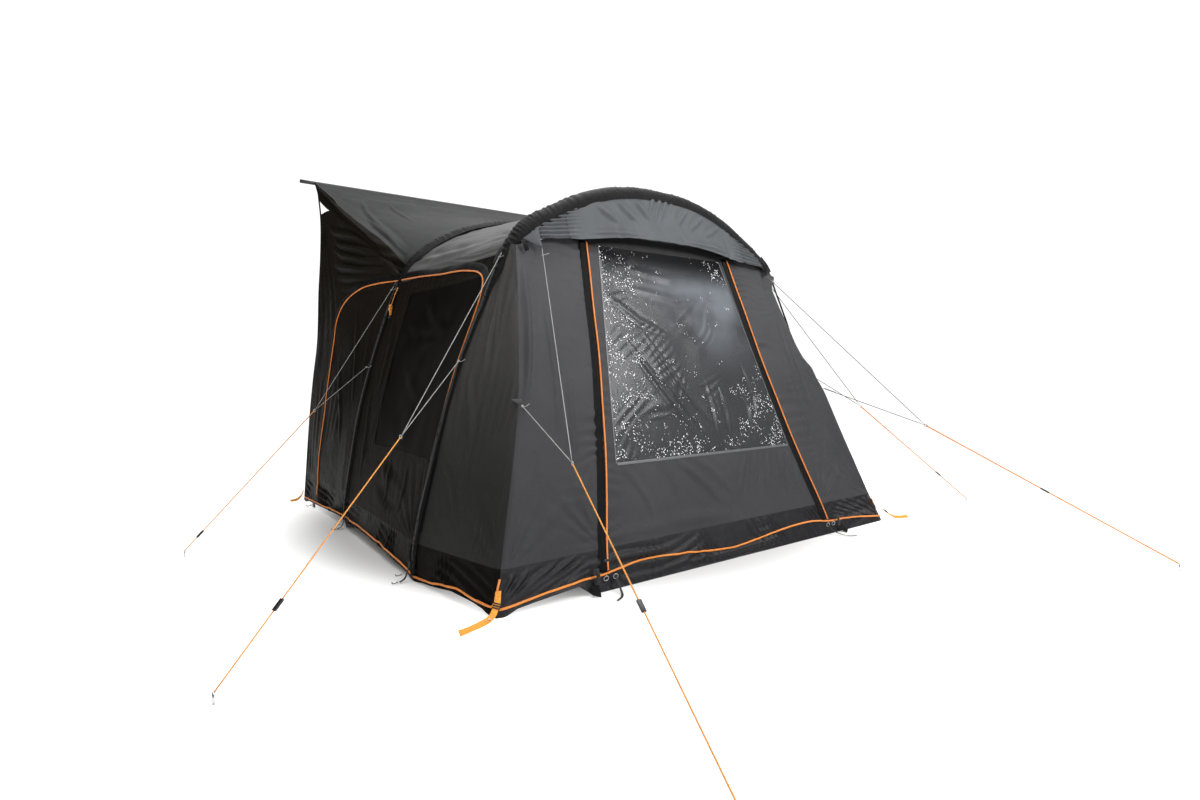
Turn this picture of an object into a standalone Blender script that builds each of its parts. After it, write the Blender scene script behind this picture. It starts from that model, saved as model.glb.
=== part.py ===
"""Drive-away awning: two inflated arches, a fabric shell open at the vehicle side, six guy sets."""

import math

import bpy
import bmesh
from mathutils import Vector

# Driving dimensions, metres. X is across the front, Y runs from the front to the vehicle, Z is up.
Y_MIDDLE = 0.784
ARCH_Y = 0.668
MID_Y = 2.0
REAR_Y = 3.055
BEAM_R = 0.0512
SLEEVE_R = 0.0603
SLEEVE_T = 0.0073
SLEEVE_END = 0.022
SLEEVE_EDGE = math.radians(55)
FABRIC_T = 0.008
FILM_T = 0.004
SEAM_GAP = 0.0002
BAR_R = 0.014
BAR_HALF = 1.518
BAR_Z = 2.475
BAR_Y = REAR_Y + BAR_R + 0.0003
CORD_R = 0.0025
LINE_R = 0.003
PIPING_R = 0.006
ZIP_R = 0.008
STRAP_T = 0.003
STRAP_RISE = 0.014
ZIP_TOP = 1.597
FRONT_LIFT = 0.0007
MID_LIFT = 0.0056
SKIRT_TOP = 0.18
LEG_ROWS = 12
ROOF_ROWS = 9
SEAT = 0.0004

# Half profiles of the outer fabric, from the foot to the shoulder and from the shoulder to the apex.
FRONT_LEG = [(1.556, 0.0), (1.536, 0.18), (1.466, 0.48), (1.363, 0.85), (1.285, 1.075), (1.184, 1.31),
             (1.085, 1.54), (1.022, 1.69)]
FRONT_ROOF = [(1.022, 1.69), (0.96, 1.78), (0.884, 1.838), (0.761, 1.905), (0.624, 1.975), (0.47, 2.035),
              (0.302, 2.078), (0.15, 2.097), (0.0, 2.10)]
MID_LEG = [(1.522, 0.0), (1.505, 0.18), (1.462, 0.45), (1.412, 0.726), (1.322, 1.063), (1.21, 1.406),
           (1.155, 1.55), (1.105, 1.665)]
MID_ROOF = [(1.105, 1.665), (1.045, 1.775), (0.95, 1.865), (0.83, 1.945), (0.68, 2.02), (0.495, 2.08),
            (0.33, 2.118), (0.16, 2.142), (0.0, 2.15)]
REAR_EDGE = [(1.546, 0.0), (1.532, 0.18), (1.49, 0.68), (1.459, 0.96), (1.426, 1.21), (1.403, 1.65),
             (1.385, 1.92), (1.378, 2.235)]
RIDGE = [(1.462, -0.014, 0.0), (1.405, 0.05, 0.18), (1.193, 0.268, 0.885), (1.085, 0.455, 1.40),
         (1.024, 0.575, 1.665)]
SEAM = [(1.105, 2.0, 1.665), (1.15, 2.2, 1.80), (1.205, 2.38, 1.93), (1.25, 2.55, 2.03), (1.30, 2.75, 2.13),
        (1.345, 2.95, 2.25)]
DOOR_BOTTOM_X = 0.863
DOOR_TOP_X = 0.555
DOOR_TOP_Z = 1.80


def clear_scene():
    for old in list(bpy.data.objects):
        bpy.data.objects.remove(old, do_unlink=True)


def material(name, colour, roughness=0.8, metallic=0.0):
    made = bpy.data.materials.new(name)
    made.use_nodes = True
    shader = made.node_tree.nodes["Principled BSDF"]
    shader.inputs["Base Color"].default_value = (*colour, 1.0)
    shader.inputs["Roughness"].default_value = roughness
    shader.inputs["Metallic"].default_value = metallic
    made.diffuse_color = (*colour, 1.0)
    return made


# Curves.
def smooth(points, u):
    """Catmull-Rom point at u in 0..1 along the control points, by chord length."""
    pts = [Vector(p) for p in points]
    lengths = [(b - a).length for a, b in zip(pts, pts[1:])]
    target = max(0.0, min(1.0, u)) * sum(lengths)
    i = 0
    while i < len(lengths) - 1 and target > lengths[i]:
        target -= lengths[i]
        i += 1
    t = target / lengths[i]
    p1, p2 = pts[i], pts[i + 1]
    p0 = pts[i - 1] if i else p1 * 2 - p2
    p3 = pts[i + 2] if i + 2 < len(pts) else p2 * 2 - p1
    l0 = max((p1 - p0).length, 1e-6)
    l1 = max((p2 - p1).length, 1e-6)
    l2 = max((p3 - p2).length, 1e-6)
    m1 = ((p1 - p0) / l0 * l1 + (p2 - p1) / l1 * l0) * (l1 / (l0 + l1))
    m2 = ((p2 - p1) / l1 * l2 + (p3 - p2) / l2 * l1) * (l1 / (l1 + l2))
    return (p1 * (2 * t**3 - 3 * t**2 + 1) + m1 * (t**3 - 2 * t**2 + t)
            + p2 * (-2 * t**3 + 3 * t**2) + m2 * (t**3 - t**2))


def flat_curve(profile, y):
    return [Vector((x, y, z)) for x, z in profile]


def at_height(points, z):
    """The parameter of the curve where it reaches height z."""
    low, high = 0.0, 1.0
    for _ in range(40):
        mid = (low + high) / 2
        if smooth(points, mid).z < z:
            low = mid
        else:
            high = mid
    return (low + high) / 2


def inward(points, distance):
    """Points moved square to a profile, towards the inside of the tent; distance is one number or a list."""
    distances = distance if isinstance(distance, list) else [distance] * len(points)
    moved = []
    for i, p in enumerate(points):
        a = points[max(i - 1, 0)]
        b = points[min(i + 1, len(points) - 1)]
        along = (b - a).normalized()
        moved.append(p + Vector((-along.z, 0, along.x)) * distances[i])
    return moved


def coons(bottom, top, left, right, u, v):
    """Point of the patch between four curves that share their corners; u runs left to right, v upwards."""
    ruled_v = bottom(u) * (1 - v) + top(u) * v
    ruled_u = left(v) * (1 - u) + right(v) * u
    corners = (bottom(0) * (1 - u) * (1 - v) + bottom(1) * u * (1 - v)
               + top(0) * (1 - u) * v + top(1) * u * v)
    return ruled_v + ruled_u - corners


def steps(count):
    return [i / count for i in range(count + 1)]


def mirror_grid(grid):
    """The same sheet on the other side of the tent; columns are turned round to keep it facing outward."""
    return [[Vector((-p.x, p.y, p.z)) for p in reversed(row)] for row in grid]


# Shell surfaces, right side (x > 0). Each row list runs in u, rows go upward in v.
def leg_levels(top):
    low = [0.0, 0.09, SKIRT_TOP]
    return low + [SKIRT_TOP + (top - SKIRT_TOP) * i / LEG_ROWS for i in range(1, LEG_ROWS + 1)]


def leg_point(points, level, top):
    z_top = points[-1].z
    return smooth(points, at_height(points, level / top * z_top if level > SKIRT_TOP else level))


def row_point(points, row):
    """Row 0 to 2 lie at the skirt heights; the rest share the panel height evenly."""
    if row <= 2:
        return smooth(points, at_height(points, (0.0, 0.09, SKIRT_TOP)[row]))
    start = at_height(points, SKIRT_TOP)
    return smooth(points, start + (1 - start) * (row - 2) / LEG_ROWS)


def ground_row(grid):
    for p in grid[0]:
        p.z = 0.0
    return grid


FRONT_LEG_3D = flat_curve(FRONT_LEG, ARCH_Y)
MID_LEG_3D = flat_curve(MID_LEG, MID_Y)
REAR_3D = flat_curve(REAR_EDGE, REAR_Y)
RIDGE_3D = [Vector(p) for p in RIDGE]
SEAM_3D = [Vector(p) for p in SEAM]


def corner_grid():
    """Triangular panel from the corner ridge back to the front arch leg."""
    grid = []
    for row in range(LEG_ROWS + 3):
        a = row_point(RIDGE_3D, row)
        b = row_point(FRONT_LEG_3D, row)
        grid.append([a.lerp(b, u) for u in steps(4)])
    return ground_row(grid)


SLEEVE_REACH = SLEEVE_R * math.sin(SLEEVE_EDGE)
EDGE_V = SLEEVE_REACH / (MID_Y - ARCH_Y)
SIDE_COLUMNS = [0.0, EDGE_V, 0.28, 0.52, 0.74, 1 - EDGE_V, 1.0]


def side_grid():
    """Wall between the two arch legs, drawn in a little between them."""
    grid = []
    for row in range(LEG_ROWS + 3):
        a = row_point(FRONT_LEG_3D, row)
        b = row_point(MID_LEG_3D, row)
        line = []
        for v in SIDE_COLUMNS:
            p = a.lerp(b, v)
            p.x -= 0.022 * math.sin(math.pi * v) * math.sin(math.pi * min(1.0, max(0.0, p.z / 1.7)))
            line.append(p)
        grid.append(line)
    return ground_row(grid)


def at_depth(points, y):
    """The parameter of the curve where it reaches depth y."""
    low, high = 0.0, 1.0
    for _ in range(40):
        mid = (low + high) / 2
        if smooth(points, mid).y < y:
            low = mid
        else:
            high = mid
    return (low + high) / 2


def tunnel_grid():
    """Tunnel side from the middle arch leg to the rear edge, under the crease of the cowl."""
    top_curve = SEAM_3D + [Vector((1.378, REAR_Y, 2.235))]
    ground = [Vector((1.522, MID_Y, 0.0)), Vector((1.534, 2.5, 0.0)), Vector((1.546, REAR_Y, 0.0))]
    grid = []
    for row in range(LEG_ROWS + 3):
        start = at_height(MID_LEG_3D, SKIRT_TOP)
        share = row_point(MID_LEG_3D, row)
        v_left = [0.0, start * 0.5, start][row] if row <= 2 else start + (1 - start) * (row - 2) / LEG_ROWS
        line = []
        for u in (0.0, at_depth(top_curve, MID_Y + SLEEVE_REACH), 0.19, 0.36, 0.54, 0.72, 0.9, 1.0):
            p = coons(lambda t: smooth(ground, t), lambda t: smooth(top_curve, t),
                      lambda t: smooth(MID_LEG_3D, t), lambda t: smooth(REAR_3D, t), u, v_left)
            if u == 0.0:
                p = share
            line.append(p)
        grid.append(line)
    for row, height in ((1, 0.09), (2, SKIRT_TOP)):
        for p in grid[row][1:]:
            p.z = height
    return ground_row(grid)


def roof_half(profile, y, angle, side):
    """Where the fabric leaves an arch sleeve: offset along y and inward by the sleeve's curve."""
    pts = [smooth(flat_curve(profile, y), u) for u in steps(ROOF_ROWS)]
    drop = SLEEVE_R * (1 - math.cos(angle))
    moved = inward(pts, drop)
    shift = SLEEVE_R * math.sin(angle) * side
    for p in moved:
        p.y += shift
    moved[-1].x = 0.0
    return moved


def full_span(half):
    """Half a profile from the right shoulder to the apex, turned into one from left to right."""
    left = [Vector((-p.x, p.y, p.z)) for p in half]
    return left + list(reversed(half[:-1]))


# Fabric bodies.
def grid_mesh(grid, keep=None):
    """Points and quads of a grid that faces outward when u runs to the right seen from outside."""
    columns = len(grid[0])
    points = [p.copy() for row in grid for p in row]
    quads = []
    for i in range(len(grid) - 1):
        for j in range(columns - 1):
            if keep is None or keep(i, j):
                k = i * columns + j
                quads.append((k, k + 1, k + columns + 1, k + columns))
    return points, quads


def split(points, quad):
    """Two triangles along the shorter diagonal, so both sides of the tent are cut alike."""
    a, b, c, d = quad
    if (points[a] - points[c]).length <= (points[b] - points[d]).length:
        return [(a, b, c), (a, c, d)]
    return [(a, b, d), (b, c, d)]


def quad_normal(points, quad):
    a, b, c, d = (points[k] for k in quad)
    return (c - a).cross(d - b).normalized()


class Shell:
    """Sheets that share seams: their normals are averaged there, so thick sheets meet in a mitre."""

    def __init__(self):
        self.sheets = []
        self.normals = {}

    def add(self, name, look, grid, thickness=FABRIC_T, keep=None, flip=False):
        points, quads = grid_mesh(grid, keep)
        if flip:
            quads = [tuple(reversed(q)) for q in quads]
        totals = {}
        for quad in quads:
            normal = quad_normal(points, quad)
            for k in quad:
                totals[k] = totals.get(k, Vector()) + normal
        for k, total in totals.items():
            self.normals.setdefault(self.key(points[k]), []).append(total.normalized())
        self.sheets.append((name, look, points, quads, thickness, totals))

    @staticmethod
    def key(p):
        return (round(p.x, 4), round(p.y, 4), round(p.z, 4))

    def mitre(self, point):
        mean = sum(self.normals[self.key(point)], Vector()) / len(self.normals[self.key(point)])
        return mean / max(mean.length_squared, 0.25)

    def build(self):
        return [self.body(*sheet) for sheet in self.sheets]

    def body(self, name, look, points, quads, thickness, totals):
        used = sorted(totals)
        moved = shrink(points, quads, totals)
        outer = {k: i for i, k in enumerate(used)}
        count = len(used)
        verts = [moved[k] for k in used]
        for k in used:
            offset = self.mitre(points[k]) * thickness
            if points[k].z < 1e-6:
                offset.z = 0.0
            if abs(points[k].y - REAR_Y) < 1e-6:
                offset.y = 0.0
            verts.append(moved[k] - offset)
        halves = [half for quad in quads for half in split(points, quad)]
        faces = [tuple(outer[k] for k in half) for half in halves]
        faces += [tuple(outer[k] + count for k in reversed(half)) for half in halves]
        for a, b in border(quads):
            oa, ob, ia, ib = outer[a], outer[b], outer[a] + count, outer[b] + count
            if self.key(points[a]) < self.key(points[b]):
                faces += [(ob, oa, ib), (oa, ia, ib)]
            else:
                faces += [(ob, oa, ia), (ob, ia, ib)]
        return solid(name, look, verts, faces)


def border(quads):
    """Edges that only one quad has, in that quad's direction."""
    edges = {}
    for quad in quads:
        for a, b in zip(quad, quad[1:] + quad[:1]):
            edges[(a, b)] = edges.get((a, b), 0) + 1
    return [edge for edge in edges if (edge[1], edge[0]) not in edges]


def shrink(points, quads, totals):
    """Border points moved into the sheet by half the seam gap."""
    push = {}
    for quad in quads:
        centre = sum((points[k] for k in quad), Vector()) / 4
        for a, b in zip(quad, quad[1:] + quad[:1]):
            push[(a, b)] = centre
    moved = {k: points[k].copy() for k in totals}
    pulls = {}
    for a, b in border(quads):
        along = (points[b] - points[a]).normalized()
        way = push[(a, b)] - points[a]
        way = (way - along * way.dot(along)).normalized()
        pulls.setdefault(a, []).append(way)
        pulls.setdefault(b, []).append(way)
    for k, ways in pulls.items():
        mean = sum(ways, Vector()) / len(ways)
        shift = mean / max(mean.length_squared, 0.25) * SEAM_GAP
        if points[k].z < 1e-6:
            shift.z = 0.0
        moved[k] += shift
    return moved


def solid(name, look, verts, faces, round_faces=False):
    mesh = bpy.data.meshes.new(name)
    mesh.from_pydata([tuple(v) for v in verts], [], faces)
    work = bmesh.new()
    work.from_mesh(mesh)
    bmesh.ops.recalc_face_normals(work, faces=work.faces)
    work.to_mesh(mesh)
    work.free()
    mesh.update()
    if round_faces:
        for face in mesh.polygons:
            face.use_smooth = True
    obj = bpy.data.objects.new(name, mesh)
    obj.data.materials.append(look)
    bpy.context.scene.collection.objects.link(obj)
    return obj


# Swept bodies.
def frames(path, flat_start=None, flat_end=None):
    """A square pair of directions at each point of a path, turned as little as possible."""
    tangents = []
    for i in range(len(path)):
        a = path[max(i - 1, 0)]
        b = path[min(i + 1, len(path) - 1)]
        t = (b - a).normalized()
        if 0 < i < len(path) - 1:
            t = ((path[i] - a).normalized() + (b - path[i]).normalized()).normalized()
        tangents.append(t)
    if flat_start:
        tangents[0] = Vector(flat_start)
    if flat_end:
        tangents[-1] = Vector(flat_end)
    side = tangents[0].orthogonal().normalized()
    pairs = []
    for t in tangents:
        side = (side - t * side.dot(t)).normalized()
        pairs.append((side, t.cross(side).normalized()))
    return pairs, tangents


def tube(name, look, path, radius, sides=12, flat_start=None, flat_end=None):
    """A round rod along a path; radius is one number or one for each point."""
    radii = radius if isinstance(radius, list) else [radius] * len(path)
    pairs, tangents = frames(path, flat_start, flat_end)
    verts = []
    for i, (p, r, (a, b)) in enumerate(zip(path, radii, pairs)):
        stretch = 1.0
        if 0 < i < len(path) - 1:
            bend = (p - path[i - 1]).normalized().dot(tangents[i])
            stretch = 1 / max(bend, 0.35)
        out = Vector()
        if stretch > 1.0001:
            out = ((path[i + 1] - p).normalized() - (p - path[i - 1]).normalized()).normalized()
        for k in range(sides):
            turn = 2 * math.pi * k / sides
            arm = (a * math.cos(turn) + b * math.sin(turn)) * r
            arm += out * arm.dot(out) * (stretch - 1)
            verts.append(p + arm)
    faces = []
    for i in range(len(path) - 1):
        for k in range(sides):
            j = (k + 1) % sides
            faces.append((i * sides + k, i * sides + j, (i + 1) * sides + j, (i + 1) * sides + k))
    faces.append(tuple(reversed(range(sides))))
    last = (len(path) - 1) * sides
    faces.append(tuple(range(last, last + sides)))
    return solid(name, look, verts, faces, round_faces=True)


def band(name, look, path, ups, width, thickness):
    """A flat strap along a path; ups gives the direction that its face looks in at each point."""
    verts = []
    for i, (p, up) in enumerate(zip(path, ups)):
        a = path[max(i - 1, 0)]
        b = path[min(i + 1, len(path) - 1)]
        t = (b - a).normalized()
        up = (up - t * up.dot(t)).normalized()
        across = t.cross(up).normalized() * width / 2
        verts += [p - across, p + across, p + across + up * thickness, p - across + up * thickness]
    faces = []
    for i in range(len(path) - 1):
        for k in range(4):
            j = (k + 1) % 4
            faces.append((i * 4 + k, i * 4 + j, i * 4 + 4 + j, i * 4 + 4 + k))
    last = (len(path) - 1) * 4
    faces += [(3, 2, 1, 0), (last, last + 1, last + 2, last + 3)]
    return solid(name, look, verts, faces)


def mirrored(point):
    return Vector((-point.x, point.y, point.z))


def both_sides(make, name, *args, **more):
    """Makes a piece on the right, then its mirror image on the left."""
    right = make(name + "_right", *args, **more)
    left = right.copy()
    left.data = right.data.copy()
    left.name = name + "_left"
    for v in left.data.vertices:
        v.co.x = -v.co.x
    left.data.flip_normals()
    bpy.context.scene.collection.objects.link(left)
    return right, left


# Arches, sleeves and the bar at the vehicle.
def arch_centre(leg, roof, y):
    """Centre line of an inflated beam from foot to foot, at the sleeve radius plus 2 mm inside the profile."""
    half = [smooth(flat_curve(leg, y), u) for u in steps(14)]
    half += [smooth(flat_curve(roof, y), u) for u in [SLEEVE_END] + steps(ROOF_ROWS)[1:]]
    extra = [0.008 * max(0.0, min(1.0, (14 - i) / 3)) for i in range(len(half))]
    half = inward(half, [SLEEVE_R + more for more in extra])
    half[-1].x = 0.0
    half[0] = Vector((half[0].x, y, 0.0))
    return full_span(list(half))


def beam(name, look, leg, roof, y):
    path = arch_centre(leg, roof, y)
    return tube(name, look, path, BEAM_R, 16, flat_start=(0, 0, 1), flat_end=(0, 0, -1))


def sleeve(name, look, roof, y, front_angle, rear_angle):
    """The dark band that wraps over a beam from shoulder to shoulder."""
    stops = [SLEEVE_END] + steps(ROOF_ROWS)[1:]
    outer = full_span([smooth(flat_curve(roof, y), u) for u in stops])
    turns = [-front_angle + (front_angle + rear_angle) * k / 8 for k in range(9)]
    verts = []
    for i, p in enumerate(outer):
        a = outer[max(i - 1, 0)]
        b = outer[min(i + 1, len(outer) - 1)]
        along = (b - a).normalized()
        up = Vector((-along.z, 0, along.x))
        if up.z < 0:
            up.negate()
        centre = p - up * SLEEVE_R
        for radius in (SLEEVE_R, SLEEVE_R - SLEEVE_T):
            for turn in turns:
                verts.append(centre + up * math.cos(turn) * radius
                             + Vector((0, math.sin(turn) * radius, 0)))
    n = len(turns)
    faces = []
    for i in range(len(outer) - 1):
        s, e = i * 2 * n, (i + 1) * 2 * n
        for k in range(n - 1):
            faces.append((s + k, s + k + 1, e + k + 1, e + k))
            faces.append((s + n + k + 1, s + n + k, e + n + k, e + n + k + 1))
        faces.append((s, s + n, e + n, e))
        faces.append((s + n - 1, s + 2 * n - 1, e + 2 * n - 1, e + n - 1))
    for s in (0, (len(outer) - 1) * 2 * n):
        for k in range(n - 1):
            faces.append((s + k, s + k + 1, s + n + k + 1, s + n + k))
    return solid(name, look, verts, faces, round_faces=True)


# Front sheets. The whole front leans back on one plane, y = 0.357 z - 0.014.
DOOR_Z = [0.0, 0.09, SKIRT_TOP, 0.30, 0.42, 0.55, 0.70, 0.85, 1.0, 1.15, 1.30, 1.45, 1.58, 1.71, DOOR_TOP_Z]
DOOR_EDGE = [(0.876, 0.0), (0.842, 0.18), (0.784, 0.40), (0.736, 0.60), (0.695, 0.82), (0.645, 1.10),
             (0.612, 1.37), (0.582, 1.59), (0.563, 1.75), (0.556, 1.80)]
WINDOW_ROWS = (5, 13)
FRONT_LEAN = 0.357


def front_y(z):
    return FRONT_LEAN * z - 0.014


def door_edge(z):
    curve = [Vector((x, 0, h)) for x, h in DOOR_EDGE]
    return smooth(curve, at_height(curve, z)).x


def window_edge(z):
    return 0.68 - 0.168 * (z - 0.55)


def door_grid():
    grid = []
    for z in DOOR_Z:
        e, w = door_edge(z), window_edge(z)
        xs = [-e, -w, -w / 2, 0.0, w / 2, w, e]
        grid.append([Vector((x, front_y(z), z)) for x in xs])
    return grid


def front_side_grid():
    """From the right door edge to the right corner ridge."""
    grid = []
    for row, z in enumerate(DOOR_Z):
        a = Vector((door_edge(z), front_y(z), z))
        b = row_point(RIDGE_3D, row)
        grid.append([a.lerp(b, u) for u in (0.0, 0.33, 0.67, 1.0)])
    return ground_row(grid)


def in_window(i, j):
    return WINDOW_ROWS[0] <= i < WINDOW_ROWS[1] and 1 <= j < 5


def in_side_window(i, j):
    return 5 <= i < 13 and 1 <= j < 4


def lower(grid):
    return grid[:3]


def upper(grid):
    return grid[2:]


def shifted(test, rows):
    return lambda i, j: test(i + rows, j)


def side_by_side(*grids):
    """Sheets joined along their shared columns."""
    joined = [list(row) for row in grids[0]]
    for grid in grids[1:]:
        for line, more in zip(joined, grid):
            line += more[1:]
    return joined


FRONT_ANGLE = math.radians(82)
REAR_ANGLE = SLEEVE_EDGE
TRIM = 0.006


def shoulder_blend(edge, end_left, end_right):
    """Brings the ends of a roof edge onto the wall tops."""
    edge = [p.copy() for p in edge]
    edge[0], edge[-1] = end_left.copy(), end_right.copy()
    for near, end in ((1, 0), (len(edge) - 2, len(edge) - 1)):
        edge[near] = edge[near].lerp(edge[end], 0.12)
    return edge


def roof_grid(wall_top):
    """Roof between the arches; wall_top is the top row of the right wall, front to back."""
    front = full_span(roof_half(FRONT_ROOF, ARCH_Y, REAR_ANGLE, 1))
    back = full_span(roof_half(MID_ROOF, MID_Y, REAR_ANGLE, -1))
    inner = wall_top[1:-1]
    front = shoulder_blend(front, mirrored(inner[0]), inner[0])
    back = shoulder_blend(back, mirrored(inner[-1]), inner[-1])
    grid = []
    span = inner[-1].y - inner[0].y
    for p in inner:
        v = (p.y - inner[0].y) / span
        line = []
        for k, (a, b) in enumerate(zip(front, back)):
            q = a.lerp(b, v)
            across = k / (len(front) - 1)
            q.z -= 0.03 * math.sin(math.pi * v) * math.sin(math.pi * across)
            line.append(q)
        line[0], line[-1] = mirrored(p), p.copy()
        grid.append(line)
    return grid


def cowl_grid(tunnel_top):
    """Tunnel roof; tunnel_top is the top row of the right tunnel side, from the arch to the rear."""
    back_arch = full_span(roof_half(MID_ROOF, MID_Y, REAR_ANGLE, 1))
    edge = tunnel_top[1:-1] + [Vector((1.384, REAR_Y, 2.345))]
    back_arch = shoulder_blend(back_arch, mirrored(edge[0]), edge[0])
    tucks = [0.02 + 0.115 * (i / (len(edge) - 1)) ** 2 for i in range(len(edge))]
    crease = []
    for p, tuck in zip(edge, tucks):
        crease.append(p + Vector((0.25, 0.0, 0.97)) * tuck)
    count = len(back_arch) - 2
    bar_end = crease[-1]
    grid = []
    for i, (p, c) in enumerate(zip(edge, crease)):
        v = (p.y - edge[0].y) / (REAR_Y - edge[0].y)
        line = [mirrored(p)]
        for k in range(count):
            u = k / (count - 1)
            front = back_arch[k + 1]
            bar = Vector((bar_end.x * (2 * u - 1), REAR_Y, BAR_Z + 0.004))
            q = front.lerp(bar, v)
            a = front_end(back_arch, 0).lerp(Vector((-bar_end.x, REAR_Y, BAR_Z + 0.004)), v)
            pull = mirrored(c) - a
            b = front_end(back_arch, -1).lerp(Vector((bar_end.x, REAR_Y, BAR_Z + 0.004)), v)
            push = c - b
            q += pull * (1 - u) ** 3 + push * u ** 3
            q.z -= 0.05 * math.sin(math.pi * v) * math.sin(math.pi * u)
            line.append(q)
        line.append(p.copy())
        grid.append(line)
    return grid


def front_end(edge, which):
    return edge[1] if which == 0 else edge[-2]


HEADER_LOW = [(0.0, 1.790), (0.25, 1.785), (0.40, 1.768), (0.55, 1.745), (0.66, 1.730), (0.93, 1.684)]


def header_grid():
    """Curtain under the front arch sleeve, over the top of the door."""
    top = full_span(roof_half(FRONT_ROOF, ARCH_Y, FRONT_ANGLE, -1))[1:-1]
    low = [Vector((x, 0, z)) for x, z in HEADER_LOW]
    grid = [[], [], []]
    for p in top:
        p = p - Vector((0, 0, 0.0008))
        x = p.x * 0.99
        z = z_at(low, abs(x))
        q = Vector((x, 0.568, z))
        for row, v in enumerate((0.0, 0.5, 1.0)):
            grid[row].append(q.lerp(p, v))
    return grid


def z_at(points, x):
    for a, b in zip(points, points[1:]):
        if x <= b.x:
            return a.z + (b.z - a.z) * (x - a.x) / (b.x - a.x)
    return points[-1].z


# Trims laid on the finished sheets.
class Surface:
    """Finds points on built sheets by looking at them from outside."""

    def __init__(self, objects):
        from mathutils.bvhtree import BVHTree
        verts, faces = [], []
        for obj in objects:
            start = len(verts)
            verts += [v.co.copy() for v in obj.data.vertices]
            faces += [tuple(start + k for k in f.vertices) for f in obj.data.polygons]
        self.tree = BVHTree.FromPolygons(verts, faces)

    def side(self, y, z, lift):
        hit, normal, _, _ = self.tree.ray_cast(Vector((4, y, z)), Vector((-1, 0, 0)))
        return hit + normal * lift, normal

    def front(self, x, z, lift):
        hit, normal, _, _ = self.tree.ray_cast(Vector((x, -4, z)), Vector((0, 1, 0)))
        return hit + normal * lift, normal


def fine(points, spacing):
    """Points spaced evenly along a control line."""
    pts = [Vector(p) for p in points]
    total = sum((b - a).length for a, b in zip(pts, pts[1:]))
    return [smooth(pts, u) for u in steps(max(2, round(total / spacing)))]


SIDE_HEM = [(0.010, 0.030), (0.15, 0.045), (0.31, 0.052), (0.50, 0.030), (0.66, 0.022), (0.80, 0.038),
            (1.05, 0.052), (1.45, 0.063), (1.90, 0.066), (2.20, 0.062), (2.60, 0.045), (3.04, 0.030)]
FRONT_HEM = [(0.0, 0.052), (0.10, 0.058), (0.45, 0.088), (0.75, 0.089), (0.86, 0.074), (1.07, 0.066),
             (1.27, 0.048), (1.44, 0.028)]
SIDE_ZIP = [(2.69, 0.10), (2.70, 0.38), (2.685, 0.69), (2.675, 0.95), (2.67, 1.21), (2.655, 1.37), (2.60, 1.475),
            (2.51, 1.545), (2.37, 1.585), (2.22, ZIP_TOP), (2.00, ZIP_TOP), (1.85, ZIP_TOP), (1.40, 1.592),
            (0.97, 1.57), (0.87, 1.55), (0.79, 1.51), (0.745, 1.45), (0.725, 1.38), (0.71, 1.28), (0.70, 1.10),
            (0.69, 0.90), (0.69, 0.64), (0.69, 0.24)]


def side_piping(name, look, surface):
    path = [surface.side(p.x, p.y, PIPING_R + 0.0021)[0] for p in fine([(y, z, 0) for y, z in SIDE_HEM], 0.04)]
    return both_sides(tube, name, look, path, PIPING_R, 8)


def front_piping(name, look, surface):
    half = fine([(x, z, 0) for x, z in FRONT_HEM], 0.12)
    line = [Vector((-p.x, p.y, 0)) for p in reversed(half[1:])] + half
    path = [surface.front(p.x, p.y, PIPING_R * 0.925 + SEAT)[0] for p in line]
    return tube(name, look, path, PIPING_R, 8)


def side_zip(name, look, surface):
    path = [surface.side(p.x, p.y, 0.0046 + 0.0012)[0] for p in fine([(y, z, 0) for y, z in SIDE_ZIP], 0.03)]
    return both_sides(tube, name, look, path, 0.005, 8)


def door_zip(name, look):
    path = []
    for z in [0.10 + (1.72 - 0.10) * k / 12 for k in range(13)]:
        normal = Vector((0, -0.942, 0.336))
        path.append(Vector((door_edge(z), front_y(z), z)) + normal * (ZIP_R * 0.7 * 0.925 + SEAT + 0.0009))
    return both_sides(tube, name, look, path, ZIP_R * 0.7, 8)


def leg_strap(name, look, profile, y, low, high, lift, over=None):
    """Webbing that follows an arch leg on the outside, and passes over the door zip at height over."""
    curve = flat_curve(profile, y)
    path, ups = [], []
    heights = sorted([low + (high - low) * k / 20 for k in range(21)] + [SKIRT_TOP])
    if over:
        heights = [z for z in heights if abs(z - over) > 0.05]
        heights = sorted(heights + [over - 0.045, over - 0.015, over + 0.015, over + 0.045])
    for z in heights:
        p = smooth(curve, at_height(curve, z))
        a = smooth(curve, at_height(curve, z - 0.02))
        b = smooth(curve, at_height(curve, z + 0.02))
        along = (b - a).normalized()
        up = Vector((along.z, 0, -along.x))
        rise = STRAP_RISE if over and abs(z - over) < 0.02 else 0.0
        path.append(p + up * (lift + rise))
        ups.append(up)
    return both_sides(band, name, look, path, ups, 0.025, STRAP_T)


def rear_strap(name, look):
    """Hem cord of the open rear edge, from the bar down to the ground."""
    points = [(1.398, 2.444), (1.389, 2.345), (1.380, 2.235), (1.385, 1.92), (1.403, 1.65), (1.426, 1.21),
              (1.459, 0.96), (1.49, 0.68), (1.532, 0.18), (1.546, 0.0)]
    path = [Vector((x - 0.004, REAR_Y + 0.0068, z)) for x, z in points]
    return both_sides(tube, name, look, path, 0.006, 8, flat_end=(0, 0, -1))


GUSSET_TIP = (0.89, 0.542, 1.66)


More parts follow.
